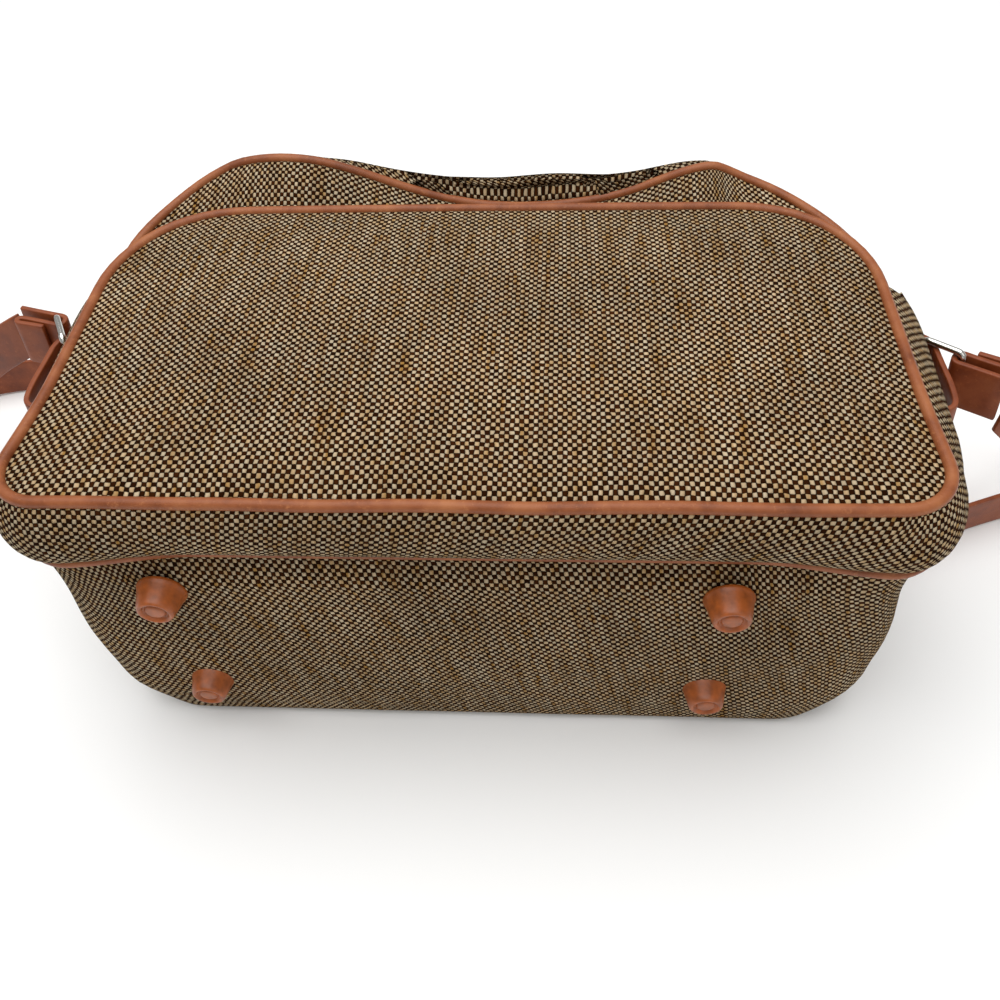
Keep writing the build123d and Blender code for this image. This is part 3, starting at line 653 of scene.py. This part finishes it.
def pocket_spot(size, x, y):
    """A point of the pocket's face, crowned between its seams, on the settled bag."""
    low_y = POCKET_LOW.y
    high_y = POCKET_HIGH.y
    flare = 1.0 - ramp(y, low_y, low_y + 0.060)
    x += (0.0020 if x > 0 else -0.0045) * flare * ramp(abs(x), 0.10, 0.16)
    share = (y - low_y) / (high_y - low_y)
    z = size.pocket_low_z + (size.pocket_lip + 0.006 - size.pocket_low_z) * share
    across = max(1.0 - (2.0 * x / size.pocket_width) ** 4, 0.0)
    up = max(1.0 - (2.0 * share - 1.0) ** 4, 0.0)
    z += 0.0035 * across * up
    z += 0.0022 * noise.noise(Vector((x * 13.0, y * 15.0, 2.3))) * across * up
    z += 0.0009 * noise.noise(Vector((x * 31.0, y * 34.0, 7.7))) * across * up
    # The face turns down into its seam over the feet, which runs a little wavy.
    z += 0.0016 * ramp(y, low_y, low_y + 0.014) * across
    wave = noise.noise(Vector((x * 21.0, 0.4, 8.8))) * flare
    return Vector((x, y - 0.0035 * flare + 0.0005 * wave, z + 0.0005 * wave))


class BAG_OT_pocket(bpy.types.Operator):
    """Makes the front slip pocket's face and walls"""

    bl_idname = "camera_bag.pocket"
    bl_label = "Front pocket"

    def execute(self, context):
        size, colour = context.scene.bag_sizes, context.scene.bag_colours
        cloth = finish("woollen_tweed", tweed, size, colour)
        length = POCKET_HIGH.y - POCKET_LOW.y
        middle = (POCKET_HIGH.y + POCKET_LOW.y) / 2
        bm = panel(size.pocket_width, length, size.pocket_low_r, size.pocket_high_r, 96, 72)
        for vert in bm.verts:
            vert.co = pocket_spot(size, vert.co.x, vert.co.y + middle)
        thin_sheet("pocket_cloth", bm, cloth, "pocket_panel", size.cloth)

        lip = [p + Vector((0, middle, 0)) for p in rounded_ring(size.pocket_width, length, size.pocket_low_r,
                                                                size.pocket_high_r)]
        foot = [p + Vector((0, middle, 0)) for p in rounded_ring(size.front_width - 0.006, length,
                                                                 size.pocket_low_r - 0.003, size.pocket_high_r)]
        levels = 14
        rows = []
        for n in range(levels + 1):
            share = 0.5 - 0.5 * cos(pi * n / levels)
            row = []
            for i, (a, b) in enumerate(zip(foot, lip)):
                low = settle(size, (a.x, a.y, front_z(size, a.y)))
                high = pocket_spot(size, b.x, b.y)
                edge = lip[(i + 1) % len(lip)] - lip[i - 1]
                out = Vector((edge.y, -edge.x, 0)).normalized()
                if out.dot(b - Vector((0, middle, 0))) < 0:
                    out.negate()
                near = 1.0 - ramp(a.y, -0.105, -0.075)
                puff = (0.0150 if b.x > 0 else 0.0095) * (1.0 - ramp(b.y, 0.0, 0.085))
                roll = puff + (0.0105 - puff) * near
                row.append(low.lerp(high, share) + out * roll * abs(sin(pi * share ** (0.85 - 0.15 * near))) ** 0.6)
            rows.append(row)
        bm = skin(rows)
        face_outwards(bm, Vector((0, 0, 0.15)))
        trim(bm, lambda spot: spot.y > POCKET_HIGH.y - size.pocket_high_r)
        thin_sheet("pocket_wall", bm, cloth, "pocket_gusset", size.cloth)
        return {"FINISHED"}


class BAG_OT_piping(bpy.types.Operator):
    """Makes the round leather piping along the three seams"""

    bl_idname = "camera_bag.piping"
    bl_label = "Piping"

    def execute(self, context):
        size, colour = context.scene.bag_sizes, context.scene.bag_colours
        hide = finish("tan_cowhide", smooth_leather, colour)
        front = [settle(size, (p.x, p.y, front_z(size, p.y))) for p in front_ring(size)]
        back = [Vector((p.x, p.y, size.piping / 2)) for p in back_ring(size, TURN_IN - 0.0015)]
        length = POCKET_HIGH.y - POCKET_LOW.y
        middle = (POCKET_HIGH.y + POCKET_LOW.y) / 2
        pocket = [pocket_spot(size, p.x, p.y + middle)
                  for p in rounded_ring(size.pocket_width, length, size.pocket_low_r, size.pocket_high_r)]
        for name, points, cad in (("front_cord", front, "front_piping"), ("back_cord", back, "back_piping"),
                                  ("pocket_cord", pocket, "pocket_piping")):
            made = tube(name, points, size.piping, hide)
            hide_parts(cad)
        return {"FINISHED"}


def lid_spot(size, x, z):
    """A point of the lid's crowned cloth, on the settled bag."""
    share = min(max((z - LID_LOW) / (CROWN_END - LID_LOW), 0.0), 1.0)
    ends = max(1.0 - (x / LID_HALF) ** 6, 0.0)
    y = size.height / 2 + LID_CROWN * (1.0 - (2.0 * share - 1.0) ** 2) * (0.55 + 0.45 * ends)
    y += 0.0015 * noise.noise(Vector((x * 22.0, z * 26.0, 5.5))) * ends * sin(pi * share)
    return settle(size, (x, y, z)) + Vector((0, 0.0006, 0))


class BAG_OT_lid(bpy.types.Operator):
    """Makes the lid's crowned tweed, its pad and its lining"""

    bl_idname = "camera_bag.lid"
    bl_label = "Lid"

    def execute(self, context):
        size, colour = context.scene.bag_sizes, context.scene.bag_colours
        cloth = finish("woollen_tweed", tweed, size, colour)
        inside = finish("cotton_lining", plain_cloth, colour.lining, 0.0012)
        foam = finish("open_cell_foam", open_foam, linear("D9CDB4"))
        bm = bmesh.new()
        bmesh.ops.create_grid(bm, x_segments=60, y_segments=40, size=1.0)
        uv = bm.loops.layers.uv.new("Cloth")
        for vert in bm.verts:
            vert.co = (vert.co.x * LID_HALF, 0.0, LID_LOW + (LID_HIGH - LID_LOW) * (vert.co.y + 1.0) / 2)
        for face in bm.faces:
            for loop in face.loops:
                loop[uv].uv = (loop.vert.co.x, loop.vert.co.z)
        for vert in bm.verts:
            vert.co = lid_spot(size, vert.co.x, vert.co.z)
        face_outwards(bm, INSIDE)
        lid = new_object("lid_cloth", bm, cloth, body=None)
        add_modifier(lid, "SOLIDIFY", thickness=size.cloth, offset=-1.0)
        apply_modifiers(lid)
        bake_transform(lid)
        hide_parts("lid_panel")

        for name, cad, finish_of, slot, depth, thick in (
            ("lid_pad", "lid_foam", foam, "foam", 0.0028, 0.0036),
            ("lid_inside", "lid_lining", inside, "lining_cloth", 0.0075, 0.001),
        ):
            low_corner, high_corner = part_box(cad)
            bm = bmesh.new()
            bmesh.ops.create_grid(bm, x_segments=24, y_segments=18, size=1.0)
            half = (high_corner.x - low_corner.x) / 2
            for vert in bm.verts:
                z = low_corner.z + (high_corner.z - low_corner.z) * (vert.co.y + 1.0) / 2
                share = (z - LID_LOW) / (LID_HINGE - LID_LOW)
                y = size.height / 2 - depth + LID_CROWN * (1.0 - (2.0 * share - 1.0) ** 2)
                vert.co = (vert.co.x * half, y, z)
            face_outwards(bm, INSIDE)
            made = thin_sheet(name, bm, finish_of, cad, thick, "lid")
        return {"FINISHED"}


def box_pad(name, cad, material, body="bag", edge=0.003):
    """A padded block in a CAD node's box, with rounded edges."""
    low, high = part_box(cad)
    bm = bmesh.new()
    bmesh.ops.create_cube(bm, size=1.0)
    bmesh.ops.scale(bm, vec=high - low, verts=bm.verts)
    bmesh.ops.bevel(bm, geom=bm.edges[:], affect="EDGES", offset=edge, offset_type="OFFSET", segments=3,
                    profile=0.5, material=-1)
    bmesh.ops.translate(bm, vec=(low + high) / 2, verts=bm.verts)
    made = new_object(name, bm, material, body)
    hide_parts(cad)
    return made


class BAG_OT_inside(bpy.types.Operator):
    """Makes the foam, the lining and the two dividers"""

    bl_idname = "camera_bag.inside"
    bl_label = "Inside"

    def execute(self, context):
        size, colour = context.scene.bag_sizes, context.scene.bag_colours
        foam = finish("open_cell_foam", open_foam, linear("D9CDB4"))
        inside = finish("cotton_lining", plain_cloth, colour.lining, 0.0012)
        pile = finish("brushed_nylon_pile", plain_cloth, colour.divider, 0.0020)
        for cad in ("left_foam", "right_foam", "base_foam"):
            box_pad(cad.replace("foam", "pad"), cad, foam)
        for name, cad, lift in (("back_pad", "back_foam", 0.0), ("front_pad", "front_foam", 1.0)):
            low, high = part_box(cad)
            bm = panel(high.x - low.x - 0.014, size.height - 0.020, 0.018, 0.045, 24, 24)
            for vert in bm.verts:
                if lift:
                    vert.co = settle(size, (vert.co.x, vert.co.y, front_z(size, vert.co.y)))
                    vert.co.z -= size.cloth + 0.0004
                else:
                    vert.co.z = high.z
            thin_sheet(name, bm, foam, cad, 0.0078)

        low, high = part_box("lining")
        ring = rounded_ring(high.x - low.x, high.y - low.y, 0.018, 0.042, 0.009, 8)
        middle = (low.y + high.y) / 2
        rows = []
        for n in range(13):
            row = []
            for p in ring:
                y = p.y + middle
                top = front_z(size, y) + min(seam_lift(size, p.x, y), 0.0) - 0.0108
                z = low.z + (top - low.z) * n / 12
                # It keeps inside the walls where they lean in.
                row.append(Vector((p.x * (1.0 - 0.075 * ramp(y, 0.010, 0.085)), y, z)))
            rows.append(row)
        bm = skin(rows)
        bmesh.ops.contextual_create(bm, geom=[e for e in bm.edges if e.is_boundary
                                              and all(abs(v.co.z - low.z) < 1e-5 for v in e.verts)])
        bmesh.ops.contextual_create(bm, geom=[e for e in bm.edges if e.is_boundary])
        score(bm, LINING_HALF)
        trim(bm, lambda spot: spot.y > high.y - 0.002 and abs(spot.x) < LINING_HALF
             and LINING_LOW < spot.z < LINING_HIGH)
        bmesh.ops.recalc_face_normals(bm, faces=bm.faces)
        thin_sheet("lining_cloth", bm, inside, "lining", 0.001, smooth=False)

        for side in ("left", "right"):
            low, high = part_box(f"divider_{side}")
            bm = bmesh.new()
            bmesh.ops.create_cube(bm, size=1.0)
            bmesh.ops.scale(bm, vec=high - low, verts=bm.verts)
            bmesh.ops.translate(bm, vec=(low + high) / 2, verts=bm.verts)
            for vert in bm.verts:
                if vert.co.z > (low.z + high.z) / 2:
                    # It clears the sagging front all along its way.
                    sag = min(seam_lift(size, vert.co.x + n * 0.01, vert.co.y + 0.012) for n in range(-3, 4))
                    vert.co.z = front_z(size, vert.co.y) + min(sag, 0.0) - 0.0130
            bmesh.ops.bevel(bm, geom=bm.edges[:], affect="EDGES", offset=0.0042, offset_type="OFFSET",
                            segments=4, profile=0.5, material=-1)
            made = new_object(f"{side}_divider", bm, pile, f"divider_{side}")
            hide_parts(f"divider_{side}")
        return {"FINISHED"}


def coil_run(start, way, length, pitch=0.0016):
    """One straight run of a coil zip: a helix, made from one turn repeated."""
    out = Vector((0, 1, 0))
    bm = bmesh.new()
    made = bmesh.ops.create_circle(bm, segments=5, radius=0.00042, cap_ends=False)
    aim = way.cross(out).to_track_quat("Z", "X").to_matrix().to_4x4()
    bmesh.ops.transform(bm, matrix=Matrix.Translation(start + out * 0.00075) @ aim, verts=made["verts"])
    bmesh.ops.spin(bm, geom=bm.verts[:] + bm.edges[:], cent=start, axis=way, dvec=way * (pitch / 8),
                   angle=2 * pi, steps=8, use_merge=False)
    mesh = bpy.data.meshes.new("turn")
    bm.to_mesh(mesh)
    bm.free()
    turn = bpy.data.objects.new("turn", mesh)
    bpy.context.scene.collection.objects.link(turn)
    add_modifier(turn, "ARRAY", count=int(length / pitch), use_relative_offset=False, use_constant_offset=True,
                 constant_offset_displace=way * pitch)
    bpy.context.view_layer.update()
    run = bpy.data.meshes.new_from_object(turn.evaluated_get(bpy.context.evaluated_depsgraph_get()))
    bpy.data.objects.remove(turn)
    return run


class BAG_OT_zip(bpy.types.Operator):
    """Makes the zip's tapes, coils and end stops"""

    bl_idname = "camera_bag.zip"
    bl_label = "Zip"

    def execute(self, context):
        size = context.scene.bag_sizes
        tape = finish("cotton_zip_tape", plain_cloth, linear("4A3524"), 0.0009)
        nylon = finish("nylon_coil", open_foam, linear("3A2A1C"))
        brass = finish("antique_brass", worked_metal, linear("A88445"), 0.32, 900.0)
        for cad, body, sign in (("body_zip_tape", "bag", 1), ("lid_zip_tape", "lid", -1)):
            low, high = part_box(cad)
            near, far = sign * COIL_GAP, sign * 0.0082
            rows = []
            for n in range(5):
                off = near + (far - near) * n / 4
                top = high.z - (0.013 if body == "lid" else 0.0)
                climb = [ZIP_LOW - off + (top - ZIP_LOW + off) * i / 14 for i in range(15)]
                rows.append([settle(size, (-ZIP_HALF - off, high.y, z)) for z in reversed(climb)]
                            + [settle(size, (ZIP_HALF + off, high.y, z)) for z in climb])
            bm = skin(rows, closed=False)
            face_outwards(bm, INSIDE)
            thin_sheet(cad.replace("zip_tape", "tape_cloth"), bm, tape, cad, 0.001, body, smooth=False)
        for cad, body, sign in (("body_zip_coil", "bag", 1), ("lid_zip_coil", "lid", -1)):
            low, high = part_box(cad)
            off = sign * COIL_GAP
            y = (low.y + high.y) / 2
            top = high.z - (0.014 if body == "lid" else 0.0)
            bm = bmesh.new()
            for start, way, length in (
                ((-ZIP_HALF - off, y, top), (0, 0, -1), top - ZIP_LOW + off),
                ((-ZIP_HALF - off, y, ZIP_LOW - off), (1, 0, 0), 2 * ZIP_HALF + 2 * off),
                ((ZIP_HALF + off, y, ZIP_LOW - off), (0, 0, 1), top - ZIP_LOW + off),
            ):
                run = coil_run(Vector(start), Vector(way), length)
                bm.from_mesh(run)
                bpy.data.meshes.remove(run)
            for vert in bm.verts:
                vert.co = settle(size, vert.co)
            bmesh.ops.recalc_face_normals(bm, faces=bm.faces)
            made = new_object(cad.replace("zip_coil", "coil"), bm, nylon, body)
            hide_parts(cad)
        for cad in ("zip_stops", "slider_left", "slider_right", "pull_left", "pull_right"):
            refinish(cad, brass)
        return {"FINISHED"}


class BAG_OT_feet(bpy.types.Operator):
    """Makes the four moulded feet"""

    bl_idname = "camera_bag.feet"
    bl_label = "Feet"

    def execute(self, context):
        size, colour = context.scene.bag_sizes, context.scene.bag_colours
        plastic = finish("moulded_polypropylene", moulded_plastic, colour)
        steel = finish("zinc_plated_steel", worked_metal, linear("B9BCC0"), 0.35, 700.0)
        board = finish("pressed_fibreboard", plain_cloth, linear("8C6A45"), 0.0015)
        low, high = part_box("feet")
        base_r, tip_r, tall = 0.0105, 0.0075, 0.012
        xs = (low.x + base_r, high.x - base_r)
        zs = (low.z + base_r, high.z - base_r)
        profile = ((base_r - 0.0002, 0.0), (base_r, -0.0004), (base_r, -0.0014), (base_r - 0.0007, -0.0021),
                   (tip_r + 0.0007, -tall + 0.0024), (tip_r + 0.0001, -tall + 0.0006), (tip_r - 0.0006, -tall),
                   (tip_r - 0.0014, -tall), (0.0054, -tall + 0.0010), (0.0050, -tall + 0.0016),
                   (0.0044, -tall + 0.0016), (0.0040, -tall + 0.0005), (0.0020, -tall + 0.0004),
                   (0.0, -tall + 0.0004))
        bm = bmesh.new()
        for x in xs:
            for z in zs:
                centre = Vector((x, -size.height / 2, z))
                verts = [bm.verts.new(centre + Vector((r, y, 0))) for r, y in profile]
                edges = [bm.edges.new(pair) for pair in zip(verts, verts[1:])]
                bmesh.ops.spin(bm, geom=verts + edges, cent=centre, axis=(0, 1, 0), angle=2 * pi, steps=40,
                               use_merge=True)
        bmesh.ops.remove_doubles(bm, verts=bm.verts, dist=1e-6)
        bmesh.ops.recalc_face_normals(bm, faces=bm.faces)
        made = new_object("moulded_feet", bm, plastic)
        add_modifier(made, "SUBSURF", levels=1, render_levels=1)
        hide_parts("feet")
        for cad, metal in (("foot_rivets", steel), ("foot_washers", steel), ("base_board", board)):
            refinish(cad, metal)
        return {"FINISHED"}


def anchor_frame(side):
    """The anchor's own axes on one side: out, up the bag, and across the strap."""
    tilt = radians(8.0)
    origin = Vector((side * 0.198, 0.001, 0.1365))
    out = Vector((side * cos(tilt), 0, sin(tilt)))
    return origin, out, Vector((0, 1, 0)), Vector((-side * sin(tilt), 0, cos(tilt)))


def cut_edge(obj, width=0.0005):
    """Rounds the cut edges of a leather piece."""
    add_modifier(obj, "BEVEL", width=width, segments=2, limit_method="ANGLE", angle_limit=radians(60))


def strip(name, side, route, width, material, body, thick, cad, steps=6):
    """A leather strip standing on edge along a route in the anchor's plane."""
    origin, out, up, across = anchor_frame(side)
    flat = smooth_path([(a, b, 0) for a, b in route])
    rows = []
    for n in range(steps + 1):
        off = width * (n / steps - 0.5)
        rows.append([origin + out * p.x + up * p.y + across * off for p in flat])
    bm = skin(rows, closed=False)
    bmesh.ops.recalc_face_normals(bm, faces=bm.faces)
    cut_edge(thin_sheet(name, bm, material, cad, thick, body, offset=0.0))


def turned(point, turn):
    """A point given out and across, turned by an angle."""
    out, across = point
    return (out * cos(turn) - across * sin(turn), out * sin(turn) + across * cos(turn))


def stitch_row(bm, points, normals, pitch):
    """Adds one low stitch for each pitch along a line that lies on a surface."""
    runs = [0.0]
    for a, b in zip(points, points[1:]):
        runs.append(runs[-1] + (b - a).length)
    count = int(runs[-1] / pitch)
    i = 0
    for n in range(count):
        at = (n + 0.5) * runs[-1] / count
        while runs[i + 1] < at:
            i += 1
        share = (at - runs[i]) / (runs[i + 1] - runs[i])
        spot = points[i].lerp(points[i + 1], share)
        way = (points[i + 1] - points[i]).normalized()
        normal = normals[i]
        side = normal.cross(way).normalized()
        turn = Matrix((way * pitch * 0.36, side * 0.00045, normal * 0.0004)).transposed().to_4x4()
        bmesh.ops.create_uvsphere(bm, u_segments=6, v_segments=4, radius=1.0, matrix=Matrix.Translation(spot) @ turn)
    return bm


class BAG_OT_anchors(bpy.types.Operator):
    """Makes the leather patches, chapes and strap ends on both sides"""

    bl_idname = "camera_bag.anchors"
    bl_label = "Strap anchors"

    def execute(self, context):
        size, colour = context.scene.bag_sizes, context.scene.bag_colours
        hide = finish("saddle_cowhide", smooth_leather, colour, SADDLE_SHADE)
        thread = finish("bonded_nylon_thread", plain_cloth, colour.thread, 0.0005)
        chrome = finish("nickel_plate", worked_metal, linear("D8D6D0"), 0.14, 500.0)
        chape = [(-0.0065, 0.027), (-0.0065, 0.016), (-0.0060, 0.008), (0.0042, 0.0030), (0.0044, -0.012),
                 (0.0052, -0.028), (0.0040, -0.0405), (-0.0056, -0.0400), (-0.0063, -0.033), (-0.0065, -0.024)]
        bend = 0.0031
        for side, name, turn, lead in ((-1, "left", radians(62.0), radians(8.0)),
                                       (1, "right", radians(-42.0), radians(-38.0))):
            strip(f"chape_leather_{name}", side, chape, size.strap, hide, "bag", size.leather, f"chape_{name}")
            outer_bar = turned((0.018, 0.0), turn)
            local = [(0.020, -bend), (0.004, -bend), (-0.0034, -0.0034), (-0.0034, 0.0034), (0.004, bend),
                     (0.0140, bend), (0.0176, 0.0036), (0.0172, 0.0070), (0.0130, 0.0066), (0.0040, 0.0062)]
            route = []
            for out, across in local:
                a, b = turned((out, across * side), lead)
                route.append((outer_bar[0] + a, outer_bar[1] + b))
            strip(f"strap_hem_{name}", side, route, size.strap, hide, f"ring_{name}", size.leather,
                  f"strap_end_{name}")
            refinish(f"ring_{name}", chrome)
            self.patch(size, side, name, hide, thread)
        return {"FINISHED"}

    def patch(self, size, side, name, hide, thread):
        """A leather patch, laid on the side wall under the chape."""
        origin, out, up, across = anchor_frame(side)
        bm = bmesh.new()
        bmesh.ops.create_grid(bm, x_segments=12, y_segments=30, size=0.5)
        for vert in bm.verts:
            y = (vert.co.y + 0.5) * 0.081 - 0.052
            z = vert.co.x * 0.023
            vert.co = origin + up * y + across * z - out * 0.0082
        bmesh.ops.recalc_face_normals(bm, faces=bm.faces)
        cut_edge(thin_sheet(f"patch_leather_{name}", bm, hide, f"anchor_patch_{name}", 0.0022,
                            offset=0.0))
        bm = bmesh.new()
        corners = [(-0.0498, -0.0093), (0.0268, -0.0093), (0.0268, 0.0093), (-0.0498, 0.0093)]
        for (y0, z0), (y1, z1) in zip(corners, corners[1:] + corners[:1]):
            ends = [origin + up * y + across * z - out * 0.0070 for y, z in ((y0, z0), (y1, z1))]
            stitch_row(bm, ends, [out], size.stitch)
        new_object(f"patch_stitches_{name}", bm, thread)


# The strap's route in millimetres: from the right ring to the floor, behind the bag, and up to the left ring.
STRAP_RIGHT = (
    (227.4, -27.6, 135.3), (237, -27, 126), (249, -17, 108), (263, 0, 86), (279, 22, 61), (297, 42, 38),
    (315, 54, 20), (331, 51, 14), (335, 38, 13.6), (320, 27, 13.6), (291, 18, 13.6), (262, 7, 13.6),
    (236, -3, 13.6), (213, -7, 13.6), (199, 2, 13.6), (193, 22, 13.6), (192, 55, 13.6), (191, 88, 13.6),
)
STRAP_BEHIND = (
    (191, 88, 13.6), (186, 120, 13.6), (172, 152, 13.6), (148, 180, 13.6), (110, 201, 13.6), (56, 212, 13.6),
    (0, 215, 13.6), (-58, 212, 13.6), (-116, 203, 13.6), (-168, 185, 13.6), (-214, 158, 13.6),
)
STRAP_LEFT = (
    (-214, 158, 13.6), (-256, 136, 13.6), (-300, 124, 13.6), (-342, 118, 13.6), (-370, 104, 15),
    (-379, 80, 22), (-362, 58, 37), (-332, 45, 60), (-299, 35, 85), (-268, 28, 109), (-244, 24, 127),
    (-227.9, 23, 135.5),
)


class BAG_OT_strap(bpy.types.Operator):
    """Makes the shoulder strap, standing on edge along its route"""

    bl_idname = "camera_bag.strap"
    bl_label = "Shoulder strap"

    def execute(self, context):
        size, colour = context.scene.bag_sizes, context.scene.bag_colours
        hide = finish("saddle_cowhide", smooth_leather, colour, SADDLE_SHADE)
        route = STRAP_RIGHT + STRAP_BEHIND[1:] + STRAP_LEFT[1:]
        path = smooth_path([Vector(p) / 1000.0 for p in route])
        first = next(i for i, p in enumerate(path) if p.y > 0.105)
        last = next(i for i, p in enumerate(path) if p.x < -0.214)
        parts = (("strap_right", path[:first + 1], "ring_right"), ("strap_behind", path[first:last + 1], None),
                 ("strap_left", path[last:], "ring_left"))
        for name, points, ring in parts:
            rows = []
            for n in range(9):
                off = Vector((0, 0, size.strap * (n / 8 - 0.5)))
                rows.append([p + off for p in points])
            bm = skin(rows, closed=False)
            bmesh.ops.recalc_face_normals(bm, faces=bm.faces)
            made = new_object(name, bm, hide, body=None if ring else "bag")
            add_modifier(made, "SOLIDIFY", thickness=size.leather, offset=0.0)
            cut_edge(made, 0.0006)
            if ring:
                apply_modifiers(made)
                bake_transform(made)
            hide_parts("shoulder_strap")
        return {"FINISHED"}


class BAG_OT_stage(bpy.types.Operator):
    """Makes the floor, the studio lights and the camera"""

    bl_idname = "camera_bag.stage"
    bl_label = "Stage"

    def execute(self, context):
        colour = context.scene.bag_colours
        bm = bmesh.new()
        bmesh.ops.create_grid(bm, x_segments=1, y_segments=1, size=6.0)
        paper, _, shader = new_material("matt_white_paper", Roughness=0.9)
        shader.inputs["Base Color"].default_value = (*colour.floor, 1.0)
        new_object("floor", bm, paper, body=None, smooth=False)
        world = bpy.data.worlds.new("studio")
        world.use_nodes = True
        world.node_tree.nodes["Background"].inputs["Color"].default_value = (1.0, 1.0, 1.0, 1.0)
        world.node_tree.nodes["Background"].inputs["Strength"].default_value = 0.40
        context.scene.world = world
        for name, spot, target, power, wide in (
            ("key_light", (-0.2, 0.12, 1.9), (0, 0, 0.1), 44.0, 2.2),
            ("fill_light", (0.9, -1.2, 1.3), (0, 0, 0.1), 4.0, 1.2),
        ):
            light = bpy.data.lights.new(name, "AREA")
            light.energy = power
            light.size = wide
            lamp = bpy.data.objects.new(name, light)
            lamp.location = spot
            lamp.rotation_euler = (Vector(target) - Vector(spot)).to_track_quat("-Z", "Y").to_euler()
            context.scene.collection.objects.link(lamp)
        context.scene.view_settings.view_transform = "Standard"
        camera = bpy.data.cameras.new("camera")
        camera.lens = 32.4
        camera.sensor_width = 36.0
        pitch, yaw, roll = radians(51.5), radians(-5.4), radians(-3.7)
        ahead = Vector((sin(yaw) * cos(pitch), cos(yaw) * cos(pitch), -sin(pitch)))
        level = Vector((cos(yaw), -sin(yaw), 0))
        above = level.cross(ahead)
        right = level * cos(roll) + above * sin(roll)
        up = above * cos(roll) - level * sin(roll)
        eye = bpy.data.objects.new("camera", camera)
        turn = Matrix((right, up, -ahead)).transposed().to_4x4()
        eye.matrix_world = Matrix.Translation((0.033, -0.309, 0.425)) @ turn
        context.scene.collection.objects.link(eye)
        context.scene.camera = eye
        return {"FINISHED"}


OPERATORS = (
    BAG_OT_body, BAG_OT_pocket, BAG_OT_piping, BAG_OT_lid, BAG_OT_inside, BAG_OT_zip, BAG_OT_feet,
    BAG_OT_anchors, BAG_OT_strap, BAG_OT_stage,
)


class BAG_PT_panel(bpy.types.Panel):
    """Lists the bag's sizes, colours and pieces"""

    bl_idname = "BAG_PT_panel"
    bl_label = "Camera Bag"
    bl_space_type = "VIEW_3D"
    bl_region_type = "UI"
    bl_category = "Camera Bag"

    def draw(self, context):
        for group in (context.scene.bag_sizes, context.scene.bag_colours):
            column = self.layout.column(align=True)
            for key in group.bl_rna.properties.keys():
                if key not in {"rna_type", "name"}:
                    column.prop(group, key)
        column = self.layout.column()
        for operator in OPERATORS:
            column.operator(operator.bl_idname)


CLASSES = (BagSizes, BagColours, *OPERATORS, BAG_PT_panel)


def register():
    for item in CLASSES:
        bpy.utils.register_class(item)
    bpy.types.Scene.bag_sizes = PointerProperty(type=BagSizes)
    bpy.types.Scene.bag_colours = PointerProperty(type=BagColours)


def unregister():
    del bpy.types.Scene.bag_colours
    del bpy.types.Scene.bag_sizes
    for item in reversed(CLASSES):
        bpy.utils.unregister_class(item)


def main():
    register()
    for operator in OPERATORS:
        group, name = operator.bl_idname.split(".")
        getattr(getattr(bpy.ops, group), name)()


if __name__ == "__main__":
    main()
